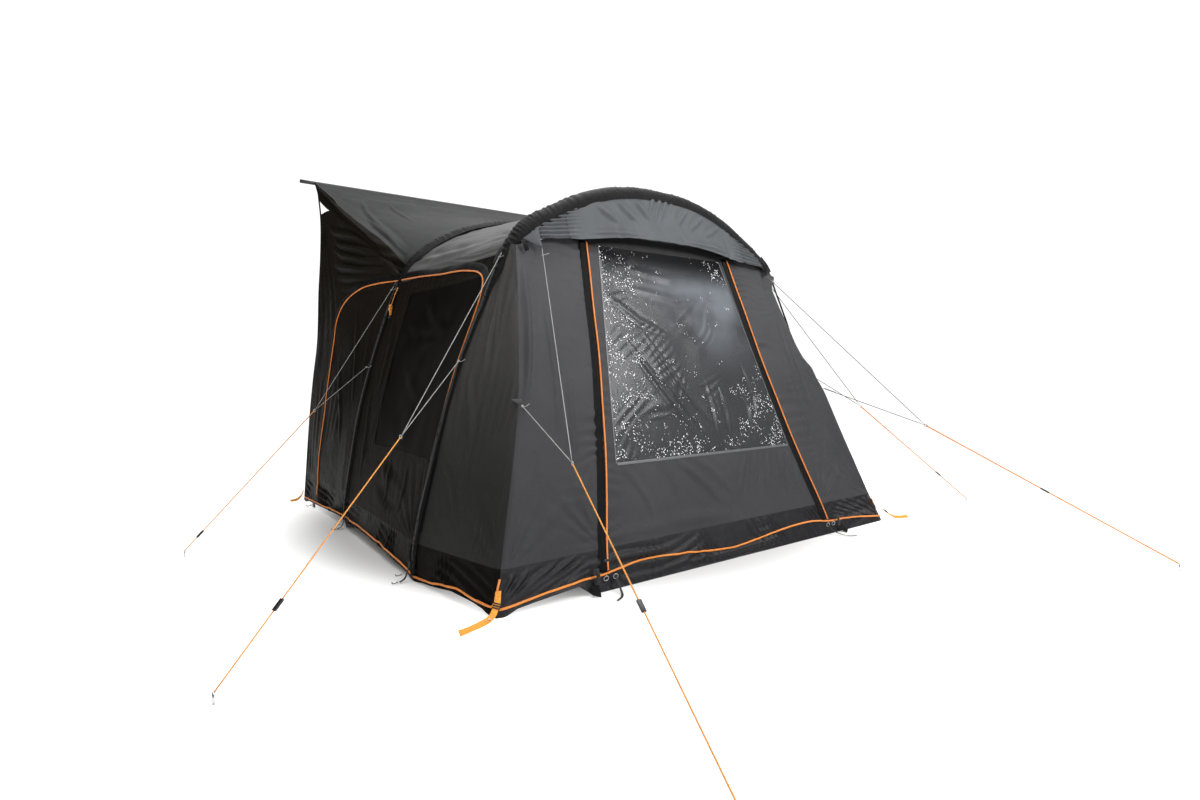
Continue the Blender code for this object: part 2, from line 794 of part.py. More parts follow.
def gusset(name, look, surface):
    """Small reinforced triangle that hangs from the shoulder and holds a guy."""
    lift = Vector((0, -0.0055, 0))
    corners = [Vector((0.985, 0.577, 1.70)), surface.front(0.90, 1.762, 0)[0] + lift, Vector(GUSSET_TIP)]
    back = [p + Vector((0, 0.003, 0)) for p in corners]
    faces = [(0, 1, 2), (5, 4, 3), (0, 3, 4, 1), (1, 4, 5, 2), (2, 5, 3, 0)]
    return both_sides(solid, name, look, corners + back, faces)


def corner_strap(name, look):
    """Pegging strap at the front corner, with its tail on the ground."""
    path = [Vector(p) for p in ((1.4304, 0.0211, 0.10), (1.474, -0.043, 0.05), (1.52, -0.06, 0.012),
                                (1.585, -0.066, 0.004), (1.65, -0.08, 0.0005))]
    ups = [Vector((0.9, -0.9, 0.3)), Vector((0.8, -0.4, 0.6)), Vector((0.4, 0, 1)), Vector((0, 0, 1)),
           Vector((0, 0, 1))]
    return both_sides(band, name, look, path, ups, 0.025, 0.003)


# Guy sets: a white V from two points on the tent to a ring, and an orange line from there to a peg.
def on_strap(profile, y, z, lift):
    """A cord's end point, seated on the outside of a leg strap at height z."""
    curve = flat_curve(profile, y)
    p = smooth(curve, at_height(curve, z))
    along = (smooth(curve, at_height(curve, z + 0.02)) - p).normalized()
    return p + Vector((along.z, 0, -along.x)) * (lift + STRAP_T + CORD_R + SEAT)


GUYS = {
    "rear": (on_strap(MID_LEG, MID_Y, ZIP_TOP + 0.007, MID_LIFT + STRAP_RISE), (1.705, 1.925, 0.775),
             on_strap(MID_LEG, MID_Y, 1.063, MID_LIFT), (2.42, 1.81, 0.0), 0.90),
    "side": (on_strap(FRONT_LEG, ARCH_Y, 1.655, FRONT_LIFT), (1.72, 0.33, 0.746),
             on_strap(FRONT_LEG, ARCH_Y, 1.09, FRONT_LIFT), (2.47, -0.10, 0.0), 0.70),
    "front": ((0.8905, 0.5392, 1.6585), (1.31, -0.36, 0.677), (1.1941, 0.2663, 0.885), (1.62, -1.51, 0.0), 0.50),
}


def bridle(name, look, top, ring, low):
    path = [Vector(top), Vector(ring), Vector(low)]
    return both_sides(tube, name, look, path, CORD_R, 8)


def guy_line(name, look, ring, peg, share):
    """Straight line with its slider, ending in a peg cut off at the ground."""
    ring, peg = Vector(ring), Vector(peg)
    top = peg + Vector((0, 0, 0.035))
    along = (top - ring).normalized()
    length = (top - ring).length
    stops = [(0.0, 0.004), (0.030, 0.004), (0.031, LINE_R)]
    middle = min(length * share, length - 0.135)
    stops += [(middle, LINE_R), (middle + 0.004, 0.010), (middle + 0.048, 0.010), (middle + 0.052, LINE_R)]
    stops += [(length - 0.075, LINE_R), (length - 0.071, 0.009), (length - 0.035, 0.009),
              (length - 0.031, LINE_R)]
    start = ring + along * 0.0075
    path = [start + along * s for s, _ in stops if s < length - 0.02]
    radii = [r for s, r in stops if s < length - 0.02]
    path += [top, peg]
    radii += [0.006, 0.006]
    return both_sides(tube, name, look, path, radii, 10, flat_end=(0, 0, -1))


def recentre():
    for obj in bpy.context.scene.objects:
        if obj.type == "MESH":
            for v in obj.data.vertices:
                v.co.y -= Y_MIDDLE


def main():
    clear_scene()
    bpy.context.scene.unit_settings.scale_length = 1.0
    side_cloth = material("side_cloth", (0.030, 0.029, 0.028))
    front_cloth = material("front_cloth", (0.055, 0.057, 0.060))
    roof_cloth = material("roof_cloth", (0.075, 0.078, 0.080))
    header_cloth = material("header_cloth", (0.11, 0.12, 0.125))
    skirt_cloth = material("skirt_cloth", (0.012, 0.013, 0.017), 0.6)
    sleeve_cloth = material("sleeve_cloth", (0.022, 0.022, 0.023), 0.7)
    webbing = material("black_webbing", (0.012, 0.012, 0.012), 0.7)
    orange = material("orange_trim", (0.80, 0.27, 0.03), 0.6)
    film = material("clear_film", (0.30, 0.31, 0.32), 0.15)
    dark_film = material("dark_film", (0.015, 0.015, 0.016), 0.3)
    rubber = material("beam_film", (0.05, 0.05, 0.055), 0.5)
    metal = material("bar_plastic", (0.06, 0.06, 0.06), 0.5)
    cord = material("white_cord", (0.75, 0.75, 0.72), 0.6)

    shell = Shell()
    corner, wall, tunnel = corner_grid(), side_grid(), tunnel_grid()
    door, front_side = door_grid(), front_side_grid()
    side_skirt = side_by_side(lower(corner), lower(wall), lower(tunnel))
    front_skirt = side_by_side(lower(mirror_grid(front_side)), lower(door), lower(front_side))
    for tag, turn in (("right", lambda g: g), ("left", mirror_grid)):
        shell.add("corner_panel_" + tag, front_cloth, turn(upper(corner)))
        wall_keep = shifted(in_side_window, 2)
        columns = len(SIDE_COLUMNS) - 2
        if tag == "left":
            wall_keep = shifted(lambda i, j: in_side_window(i, columns - j), 2)
        shell.add("side_wall_" + tag, side_cloth, turn(upper(wall)), keep=lambda i, j, k=wall_keep: not k(i, j))
        shell.add("side_window_" + tag, dark_film, turn(upper(wall)), FILM_T, keep=wall_keep)
        shell.add("tunnel_side_" + tag, side_cloth, turn(upper(tunnel)))
        shell.add("front_panel_" + tag, front_cloth, turn(upper(front_side)))
        shell.add("side_skirt_" + tag, skirt_cloth, turn(side_skirt))
    shell.add("front_skirt", skirt_cloth, front_skirt)
    shell.add("front_door", front_cloth, upper(door), keep=lambda i, j: not in_window(i + 2, j))
    shell.add("front_window", film, upper(door), FILM_T, keep=shifted(in_window, 2))
    shell.add("roof_panel", roof_cloth, roof_grid(wall[-1]))
    shell.add("tunnel_cowl", roof_cloth, cowl_grid(tunnel[-1]))
    shell.add("front_header", header_cloth, header_grid())
    made = {obj.name: obj for obj in shell.build()}

    beam("front_arch_beam", rubber, FRONT_LEG, FRONT_ROOF, ARCH_Y)
    beam("middle_arch_beam", rubber, MID_LEG, MID_ROOF, MID_Y)
    slack = 0.008
    front_sleeve = sleeve("front_arch_sleeve", sleeve_cloth, FRONT_ROOF, ARCH_Y, FRONT_ANGLE - slack, REAR_ANGLE - slack)
    sleeve("middle_arch_sleeve", sleeve_cloth, MID_ROOF, MID_Y, REAR_ANGLE - slack, REAR_ANGLE - slack)
    bar = [Vector((x, BAR_Y, BAR_Z)) for x in (-BAR_HALF, BAR_HALF)]
    tube("awning_rail_bar", metal, bar, BAR_R, 16)

    right = Surface([made[n] for n in ("corner_panel_right", "side_wall_right", "side_window_right",
                                       "tunnel_side_right", "side_skirt_right")])
    front = Surface([made[n] for n in ("front_skirt", "front_door", "front_panel_left", "front_panel_right")])
    side_piping("side_hem_piping", orange, right)
    front_piping("front_hem_piping", orange, front)
    side_zip("side_door_zip", orange, right)
    door_zip("front_door_zip", orange)
    leg_strap("front_leg_strap", webbing, FRONT_LEG, ARCH_Y, 0.12, 1.67, FRONT_LIFT)
    leg_strap("middle_leg_strap", webbing, MID_LEG, MID_Y, 0.12, 1.645, MID_LIFT, over=ZIP_TOP)
    rear_strap("rear_edge_cord", webbing)
    brow = Surface([made["front_header"], made["front_panel_right"], made["corner_panel_right"], front_sleeve])
    gusset("shoulder_gusset", header_cloth, brow)
    corner_strap("corner_strap", orange)
    for place, (top, ring, low, peg, share) in GUYS.items():
        bridle(place + "_guy_bridle", cord, top, ring, low)
        guy_line(place + "_guy_line", orange, ring, peg, share)
    recentre()


main()
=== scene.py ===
"""Looks of the drive-away awning: cloth with its folds, films, zips, piping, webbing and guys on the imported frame."""
import math

import bpy
import numpy as np
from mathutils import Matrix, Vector
from mathutils.bvhtree import BVHTree


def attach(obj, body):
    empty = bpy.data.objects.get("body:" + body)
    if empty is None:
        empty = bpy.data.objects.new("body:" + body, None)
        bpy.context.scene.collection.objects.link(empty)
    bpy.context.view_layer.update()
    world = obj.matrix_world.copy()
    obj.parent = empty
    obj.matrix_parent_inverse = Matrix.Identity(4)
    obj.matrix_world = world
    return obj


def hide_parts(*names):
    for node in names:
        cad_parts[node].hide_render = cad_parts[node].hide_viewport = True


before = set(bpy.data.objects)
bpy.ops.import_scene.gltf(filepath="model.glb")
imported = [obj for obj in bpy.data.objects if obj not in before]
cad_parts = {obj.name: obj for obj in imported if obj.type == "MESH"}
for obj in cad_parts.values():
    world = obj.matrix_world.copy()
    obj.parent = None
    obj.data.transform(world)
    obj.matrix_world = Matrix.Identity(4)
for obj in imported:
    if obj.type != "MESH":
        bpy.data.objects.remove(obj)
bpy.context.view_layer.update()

# Sizes that part.py also uses, in metres. Here y = 0 is the front hem, and meshes move back by Y_MIDDLE.
Y_MIDDLE = 0.784
ARCH_Y = 0.668
MID_Y = 2.0
REAR_Y = 3.055
BEAM_R = 0.0512
SLEEVE_R = 0.0603
SLEEVE_END = 0.022
REAR_ANGLE = math.radians(55)
FRONT_ANGLE = math.radians(82)
SLEEVE_REACH = SLEEVE_R * math.sin(REAR_ANGLE)
EDGE_V = SLEEVE_REACH / (MID_Y - ARCH_Y)
BAR_Z = 2.475
BAR_Y = REAR_Y + 0.0143
BAR_HALF = 1.518
SKIRT_TOP = 0.18
FRONT_LEAN = 0.357

FRONT_LEG = [(1.556, 0.0), (1.536, 0.18), (1.466, 0.48), (1.363, 0.85), (1.285, 1.075), (1.184, 1.31),
             (1.085, 1.54), (1.022, 1.69)]
FRONT_ROOF = [(1.022, 1.69), (0.96, 1.78), (0.884, 1.838), (0.761, 1.905), (0.624, 1.975), (0.47, 2.035),
              (0.302, 2.078), (0.15, 2.097), (0.0, 2.10)]
MID_LEG = [(1.522, 0.0), (1.505, 0.18), (1.462, 0.45), (1.412, 0.726), (1.322, 1.063), (1.21, 1.406),
           (1.155, 1.55), (1.105, 1.665)]
MID_ROOF = [(1.105, 1.665), (1.045, 1.775), (0.95, 1.865), (0.83, 1.945), (0.68, 2.02), (0.495, 2.08),
            (0.33, 2.118), (0.16, 2.142), (0.0, 2.15)]
REAR_EDGE = [(1.546, 0.0), (1.532, 0.18), (1.49, 0.68), (1.459, 0.96), (1.426, 1.21), (1.403, 1.65),
             (1.385, 1.92), (1.378, 2.235)]
RIDGE = [(1.462, -0.014, 0.0), (1.405, 0.05, 0.18), (1.193, 0.268, 0.885), (1.085, 0.455, 1.40),
         (1.024, 0.575, 1.665)]
SEAM = [(1.105, 2.0, 1.665), (1.15, 2.2, 1.80), (1.205, 2.38, 1.93), (1.25, 2.55, 2.03), (1.30, 2.75, 2.13),
        (1.345, 2.95, 2.25)]
DOOR_EDGE = [(0.876, 0.0), (0.842, 0.18), (0.784, 0.40), (0.736, 0.60), (0.695, 0.82), (0.645, 1.10),
             (0.612, 1.37), (0.582, 1.59), (0.563, 1.75), (0.556, 1.80)]
HEADER_LOW = [(0.0, 1.790), (0.25, 1.785), (0.40, 1.768), (0.55, 1.745), (0.66, 1.728), (0.76, 1.723), (0.85, 1.710), (0.93, 1.690)]


# Curves.
def smooth(pts, u):
    """Catmull-Rom point at u in 0..1 along the control points, by chord length."""
    lengths = [(b - a).length for a, b in zip(pts, pts[1:])]
    target = max(0.0, min(1.0, u)) * sum(lengths)
    i = 0
    while i < len(lengths) - 1 and target > lengths[i]:
        target -= lengths[i]
        i += 1
    t = target / lengths[i]
    p1, p2 = pts[i], pts[i + 1]
    p0 = pts[i - 1] if i else p1 * 2 - p2
    p3 = pts[i + 2] if i + 2 < len(pts) else p2 * 2 - p1
    l0, l1, l2 = (max((b - a).length, 1e-6) for a, b in ((p0, p1), (p1, p2), (p2, p3)))
    m1 = ((p1 - p0) / l0 * l1 + (p2 - p1) / l1 * l0) * (l1 / (l0 + l1))
    m2 = ((p2 - p1) / l1 * l2 + (p3 - p2) / l2 * l1) * (l1 / (l1 + l2))
    return (p1 * (2 * t**3 - 3 * t**2 + 1) + m1 * (t**3 - 2 * t**2 + t)
            + p2 * (-2 * t**3 + 3 * t**2) + m2 * (t**3 - t**2))


class Curve:
    """A smooth line that gives many points at once."""

    def __init__(self, points, y=None, count=500):
        pts = [Vector(p) if y is None else Vector((p[0], y, p[1])) for p in points]
        self.u = np.linspace(0, 1, count)
        self.p = np.array([smooth(pts, u) for u in self.u])

    def at(self, u):
        u = np.asarray(u, float)
        return np.stack([np.interp(u, self.u, self.p[:, k]) for k in range(3)], -1)

    def where(self, axis, value):
        return np.interp(value, self.p[:, axis], self.u)


FRONT = Curve(FRONT_LEG, ARCH_Y)
MIDDLE = Curve(MID_LEG, MID_Y)
REAR = Curve(REAR_EDGE, REAR_Y)
CORNER = Curve(RIDGE)
TUNNEL_TOP = Curve(SEAM + [(1.378, REAR_Y, 2.235)])
GROUND = Curve([(1.522, MID_Y, 0.0), (1.534, 2.5, 0.0), (1.546, REAR_Y, 0.0)])
DOOR = Curve([(x, 0.0, z) for x, z in DOOR_EDGE])


def level(curve, t):
    """Parameter of a leg at level t: -1 the ground, 0 the top of the skirt, 1 the shoulder."""
    start = curve.where(2, SKIRT_TOP)
    return np.where(t < 0, curve.where(2, SKIRT_TOP * (1 + np.minimum(t, 0))), start + (1 - start) * t)


def unit(v):
    return v / np.maximum(np.linalg.norm(v, axis=-1, keepdims=True), 1e-9)


def ease(x):
    x = np.clip(x, 0, 1)
    return x * x * (3 - 2 * x)


def mix(a, b, t):
    return a * (1 - t) + b * t


# Surfaces of the right side (x > 0); t runs up, v runs from the front to the vehicle or across.
def wall_surface(t, v):
    p = mix(FRONT.at(level(FRONT, t)), MIDDLE.at(level(MIDDLE, t)), v[..., None])
    p[..., 0] -= 0.022 * np.sin(np.pi * v) * np.sin(np.pi * np.clip(p[..., 2] / 1.7, 0, 1))
    return p


def rounded(p, ridge):
    """Eases the cloth over the ridge between the front and the corner panel."""
    near = np.clip(1 - np.linalg.norm(p - ridge, axis=-1) / 0.060, 0, 1) ** 2
    cut = 0.010 * near * ease((1.60 - p[..., 2]) / 0.20)
    return p + np.stack([-cut, cut, 0 * cut], -1)


def drawn_in(p, ridge):
    """Pulls the right-hand ridge in between the shoulder and its guy tab."""
    near = ease(1 - np.linalg.norm(p - ridge, axis=-1) / 0.40)
    cut = 0.080 * near * ease((1.68 - p[..., 2]) / 0.12) * ease((p[..., 2] - 0.84) / 0.38)
    return p + np.stack([-cut, 0.2 * cut, 0 * cut], -1)


def corner_surface(t, v):
    ridge = CORNER.at(level(CORNER, t))
    return rounded(mix(ridge, FRONT.at(level(FRONT, t)), v[..., None]), ridge)


def tunnel_surface(t, u):
    start = MIDDLE.where(2, SKIRT_TOP)
    v = np.where(t < 0, start * (1 + np.minimum(t, 0)), start + (1 - start) * t)
    w, q = v[..., None], u[..., None]
    p = GROUND.at(u) * (1 - w) + TUNNEL_TOP.at(u) * w + MIDDLE.at(v) * (1 - q) + REAR.at(v) * q
    p -= GROUND.at(0) * (1 - q) * (1 - w) + GROUND.at(1) * q * (1 - w)
    p -= TUNNEL_TOP.at(0) * (1 - q) * w + TUNNEL_TOP.at(1) * q * w
    z = np.where(t < 0, SKIRT_TOP * (1 + np.minimum(t, 0)), p[..., 2])
    blend = ease(t / 0.15)
    p[..., 2] = np.where(t < 0, z, mix(np.maximum(SKIRT_TOP, z), z, blend))
    return p


def door_z(t):
    return np.where(t < 0, SKIRT_TOP * (1 + np.minimum(t, 0)), SKIRT_TOP + (1.80 - SKIRT_TOP) * t)


def door_edge_point(t):
    z = door_z(t)
    x = DOOR.at(DOOR.where(2, z))[..., 0]
    return np.stack([x, FRONT_LEAN * z - 0.014, z], -1)


def front_side_surface(t, v):
    ridge = CORNER.at(level(CORNER, t))
    return rounded(mix(door_edge_point(t), ridge, v[..., None]), ridge)


def door_surface(t, v):
    """v runs from -1 at the left zip to 1 at the right one."""
    p = door_edge_point(t)
    p[..., 0] *= v
    return p


def arch_edge(profile, y, angle, side):
    """Line where cloth leaves an arch sleeve, from the shoulder to the apex."""
    curve = Curve(profile, y)
    pts = curve.at(np.linspace(0, 1, 200))
    along = unit(np.gradient(pts, axis=0))
    pts = pts + np.stack([-along[:, 2], along[:, 1] * 0, along[:, 0]], -1) * SLEEVE_R * (1 - math.cos(angle))
    pts[:, 1] += SLEEVE_R * math.sin(angle) * side
    pts[-1, 0] = 0.0
    return pts


ROOF_FRONT = arch_edge(FRONT_ROOF, ARCH_Y, REAR_ANGLE, 1)
ROOF_BACK = arch_edge(MID_ROOF, MID_Y, REAR_ANGLE, -1)
COWL_FRONT = arch_edge(MID_ROOF, MID_Y, REAR_ANGLE, 1)
HEADER_TOP = arch_edge(FRONT_ROOF, ARCH_Y, FRONT_ANGLE, -1)


def across(edge, s):
    """Point of an arch edge; s runs from -1 at the left shoulder to 1 at the right one."""
    u = np.linspace(0, 1, len(edge))
    p = np.stack([np.interp(1 - np.abs(s), u, edge[:, k]) for k in range(3)], -1)
    p[..., 0] *= np.sign(s)
    return p


def flipped(p):
    return p * np.array([-1.0, 1.0, 1.0])


def roof_surface(v, s):
    p = mix(across(ROOF_FRONT, s), across(ROOF_BACK, s), v[..., None])
    edge_v = EDGE_V + (1 - 2 * EDGE_V) * v
    top = wall_surface(np.ones_like(v), edge_v)
    side = np.where(s < 0, -1.0, 1.0)
    top[..., 0] *= side
    end = mix(across(ROOF_FRONT, side), across(ROOF_BACK, side), v[..., None])
    p += (top - end) * ease((np.abs(s) - 0.87) / 0.13)[..., None]
    p[..., 2] -= 0.03 * np.sin(np.pi * v) * np.cos(np.pi * s / 2)
    return p


COWL_START = float(TUNNEL_TOP.where(1, MID_Y + SLEEVE_REACH))


def cowl_edge(v):
    """Upper seam of the tunnel side, and on to the bar's end."""
    low = TUNNEL_TOP.at(COWL_START + (0.9 - COWL_START) * np.minimum(v / 0.9, 1))
    return mix(low, np.array([1.384, REAR_Y, 2.345]), np.clip((v - 0.9) / 0.1, 0, 1)[..., None])


def cowl_crease(v):
    return cowl_edge(v) + np.array([0.25, 0.0, 0.97]) * (0.02 + 0.115 * v**2)[..., None]


def cowl_surface(v, s):
    """s runs from -1 at the left crease to 1 at the right one."""
    edge = cowl_edge(v)
    share = (edge[..., 1] - edge_y0) / (REAR_Y - edge_y0)
    end = np.array([1.418, REAR_Y, BAR_Z + 0.004])
    bar = np.stack([end[0] * s, REAR_Y + 0 * s, BAR_Z + 0.004 + 0 * s], -1)
    front = across(COWL_FRONT, s * 8 / 9)
    q = mix(front, bar, share[..., None])
    corner = mix(across(COWL_FRONT, np.full_like(s, 8 / 9)), np.broadcast_to(end, q.shape), share[..., None])
    push = cowl_crease(v) - corner
    u = (s + 1) / 2
    q = q + push * (u**3)[..., None] + flipped(push) * ((1 - u) ** 3)[..., None]
    q[..., 2] -= 0.05 * np.sin(np.pi * share) * np.sin(np.pi * u)
    start = across(COWL_FRONT, s * 8 / 9)
    push0 = cowl_crease(np.zeros_like(s)) - across(COWL_FRONT, np.full_like(s, 8 / 9))
    start = start + push0 * (u**3)[..., None] + flipped(push0) * ((1 - u) ** 3)[..., None]
    return q + (across(COWL_FRONT, s) - start) * (1 - ease(share / 0.22))[..., None]


edge_y0 = float(cowl_edge(np.array(0.0))[1])


GORE = [(2.049, 1.036), (2.261, 1.118), (2.501, 1.204), (2.671, 1.252), (2.826, 1.309), (2.953, 1.342),
        (3.028, 1.400), (3.055, 1.409)]


def gore_start(v):
    """Where the lit cowl ends and the dark gore begins, as a share s of each row."""
    out = []
    s = np.linspace(0, 1, 400)
    for value in v:
        p = cowl_surface(np.full_like(s, value), s)
        x = np.interp(p[0, 1], *np.array(GORE).T)
        out.append(np.interp(x, np.maximum.accumulate(p[:, 0]), s))
    out = np.array(out)
    for _ in range(6):
        out[1:-1] = (out[:-2] + 2 * out[1:-1] + out[2:]) / 4
    return out


def header_surface(w, s):
    """w runs from 0 at the free lower edge to 1 at the sleeve."""
    top = across(HEADER_TOP, s * 8 / 9)
    x = top[..., 0] * 0.99
    low_x, low_z = np.array(HEADER_LOW).T
    low = np.stack([x, 0.568 + 0 * x, np.interp(np.abs(x), low_x, low_z)], -1)
    return mix(low, top, w[..., None])


# Folds: every one adds to a height field over the sheet's own two coordinates, in metres.
def noise(c, cell, seed):
    """Smooth random field from -1 to 1; cell is the size of a patch in each direction."""
    table = np.random.default_rng(seed).uniform(-1, 1, (64, 64))
    g = c / np.asarray(cell, float)
    i = np.floor(g).astype(int)
    f = g - i
    f = f * f * (3 - 2 * f)
    a, b = i[..., 0] % 64, i[..., 1] % 64
    a2, b2 = (a + 1) % 64, (b + 1) % 64
    low = table[a, b] * (1 - f[..., 0]) + table[a2, b] * f[..., 0]
    high = table[a, b2] * (1 - f[..., 0]) + table[a2, b2] * f[..., 0]
    return low * (1 - f[..., 1]) + high * f[..., 1]


def turned(c, degrees):
    a = math.radians(degrees)
    return np.stack([c[..., 0] * math.cos(a) + c[..., 1] * math.sin(a),
                     -c[..., 0] * math.sin(a) + c[..., 1] * math.cos(a)], -1)


def crease(c, height, width, path, ends=(0, 0)):
    """Soft ridge along a path, or a valley if height is negative; ends are 1 where it stays full."""
    path = np.array(path, float)
    steps = np.linalg.norm(np.diff(path, axis=0), axis=1)
    total = steps.sum()
    best = np.full(c.shape[:-1], 1e9)
    place = np.zeros(c.shape[:-1])
    done = 0.0
    for a, b, step in zip(path, path[1:], steps):
        t = np.clip(((c - a) * (b - a)).sum(-1) / step**2, 0, 1)
        d = np.linalg.norm(c - (a + t[..., None] * (b - a)), axis=-1)
        near = d < best
        best = np.where(near, d, best)
        place = np.where(near, (done + t * step) / total, place)
        done += step
    fade = np.ones_like(place)
    if not ends[0]:
        fade = fade * ease(place / 0.35)
    if not ends[1]:
        fade = fade * ease((1 - place) / 0.35)
    wide = width * (0.55 + 0.45 * fade)
    return height * fade * (np.exp(-(best / wide) ** 2) - 0.35 * np.exp(-((best - 1.9 * wide) / wide) ** 2))


def fan(c, apex, toward, spread, count, reach, height, seed):
    """Folds that run out from a point where the cloth is pulled."""
    d = c - np.asarray(apex, float)
    r = np.linalg.norm(d, axis=-1)
    middle = math.atan2(toward[1], toward[0])
    angle = (np.arctan2(d[..., 1], d[..., 0]) - middle + np.pi) % (2 * np.pi) - np.pi
    half = math.radians(spread)
    inside = ease((1 - np.abs(angle) / half) * 3)
    wobble = noise(np.stack([angle, r], -1), (0.25, 0.35), seed)
    wave = np.cos((angle / half + 0.12 * wobble) * count * np.pi)
    wave = np.sign(wave) * np.abs(wave) ** 0.8
    strength = (r / reach) * np.exp(1.0 - 3.2 * r / reach) * (0.75 + 0.5 * noise(c, (0.11, 0.11), seed + 1))
    return height * 1.6 * wave * strength * inside


def ripples(c, length, height, direction, seed, patch=0.35, cover=0.1):
    """Patches of near-parallel wrinkles; length is from crest to crest, direction is along the crests."""
    q = turned(c, direction)
    bend = noise(q, (patch * 1.3, patch * 0.8), seed) * length * 1.1
    wave = np.sin(2 * np.pi * (q[..., 1] + bend) / length)
    where = ease((noise(q, (patch, patch * 0.6), seed + 1) - cover) * 2.2)
    return height * wave * where


def soft_noise(c, size, height, seed):
    return height * (noise(c, (size, size), seed) + 0.5 * noise(c, (size / 2.1, size / 2.1), seed + 7))


def edge_fade(shape, near, sides="lrbt"):
    """0 at the chosen borders of a grid and 1 inside; near is the share of the grid that it takes."""
    rows, columns = shape
    v = np.linspace(0, 1, columns)[None, :] * np.ones((rows, 1))
    t = np.linspace(0, 1, rows)[:, None] * np.ones((1, columns))
    fade = np.ones(shape)
    for side, x in (("l", v), ("r", 1 - v), ("b", t), ("t", 1 - t)):
        if side in sides:
            fade *= ease(x / near)
    return fade


# Meshes.
SKINS = {}


def link(obj):
    bpy.context.scene.collection.objects.link(obj)
    return obj


def mesh_object(name, verts, faces, look, smooth_faces=True, uv=None):
    mesh = bpy.data.meshes.new(name)
    verts = np.asarray(verts, float)
    SKINS[name] = (verts, faces)
    mesh.from_pydata((verts - np.array([0, Y_MIDDLE, 0])).tolist(), [], faces)
    mesh.update()
    if uv is not None:
        layer = mesh.uv_layers.new(name="cloth")
        index = np.empty(len(mesh.loops), np.int32)
        mesh.loops.foreach_get("vertex_index", index)
        layer.data.foreach_set("uv", np.asarray(uv, np.float32)[index].ravel())
    if smooth_faces:
        mesh.polygons.foreach_set("use_smooth", [True] * len(mesh.polygons))
    mesh.materials.append(look)
    return link(bpy.data.objects.new(name, mesh))


def grid_normals(p):
    du = np.gradient(p, axis=1)
    dt = np.gradient(p, axis=0)
    return unit(np.cross(du, dt))


def grid_faces(rows, columns, keep=None):
    k = np.arange(rows * columns).reshape(rows, columns)
    quads = np.stack([k[:-1, :-1], k[:-1, 1:], k[1:, 1:], k[1:, :-1]], -1)
    if keep is not None:
        return quads[keep].tolist()
    return quads.reshape(-1, 4).tolist()


def cut_size(p):
    """Width and length of the flat cut that holds this sheet."""
    width = np.linalg.norm(np.diff(p, axis=1), axis=-1).sum(1).max()
    length = np.linalg.norm(np.diff(p, axis=0), axis=-1).sum(0).max()
    return float(width), float(length)


def cloth(name, node, look, base, lift, flip=False, keep=None, uv=None):
    """One sheet of cloth: base is its grid of points, lift its folds, outward. Mirrored pieces are flipped."""
    p = flipped(base) if flip else base
    normals = grid_normals(p)
    if flip:
        p, normals, lift = p[:, ::-1], -grid_normals(p)[:, ::-1], lift[:, ::-1]
        keep = keep[:, ::-1] if keep is not None else None
    shaped = p + normals * lift[..., None]
    rows, columns = base.shape[:2]
    width, length = cut_size(base)
    t, v = np.meshgrid(np.linspace(0, length, rows), np.linspace(0, width, columns), indexing="ij")
    uvs = np.stack([v, t], -1).reshape(-1, 2)
    obj = mesh_object(name, shaped.reshape(-1, 3), grid_faces(rows, columns, keep), look, uv=uvs)
    if keep is not None:
        drop_loose(obj)
    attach(obj, "root")
    if node:
        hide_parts(*([node] if isinstance(node, str) else node))
    return obj


def drop_loose(obj):
    import bmesh
    work = bmesh.new()
    work.from_mesh(obj.data)
    bmesh.ops.delete(work, geom=[v for v in work.verts if not v.link_faces], context="VERTS")
    work.to_mesh(obj.data)
    work.free()


def part(obj, slot, *nodes):
    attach(obj, "root")
    if nodes:
        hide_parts(*nodes)
    return obj


def path_frames(path):
    tangents = [((path[min(i + 1, len(path) - 1)] - path[max(i - 1, 0)])).normalized() for i in range(len(path))]
    side = tangents[0].orthogonal().normalized()
    out = []
    for t in tangents:
        side = (side - t * side.dot(t)).normalized()
        out.append((side, t.cross(side).normalized()))
    return out


def tube(name, look, path, radius, sides=8, squash=1.0, ups=None):
    """Round cord or rod with capped ends; ups and squash flatten it against what it lies on."""
    path = [Vector(p) for p in path]
    radii = radius if isinstance(radius, (list, tuple)) else [radius] * len(path)
    pairs = path_frames(path)
    if ups is not None:
        pairs = []
        for i in range(len(path)):
            t = (path[min(i + 1, len(path) - 1)] - path[max(i - 1, 0)]).normalized()
            side = t.cross(Vector(ups[i])).normalized()
            pairs.append((side, side.cross(t).normalized() * squash))
    verts = []
    for p, r, (a, b) in zip(path, radii, pairs):
        for k in range(sides):
            turn = 2 * math.pi * k / sides
            verts.append(p + (a * math.cos(turn) + b * math.sin(turn)) * r)
    faces = [(i * sides + k, i * sides + (k + 1) % sides, (i + 1) * sides + (k + 1) % sides, (i + 1) * sides + k)
             for i in range(len(path) - 1) for k in range(sides)]
    faces.append(tuple(reversed(range(sides))))
    faces.append(tuple(range((len(path) - 1) * sides, len(path) * sides)))
    spans = [0.0]
    for a, b in zip(path, path[1:]):
        spans.append(spans[-1] + (b - a).length)
    uvs = [(k / sides * 2 * math.pi * radii[i], spans[i]) for i in range(len(path)) for k in range(sides)]
    return mesh_object(name, [tuple(v) for v in verts], faces, look, uv=uvs)


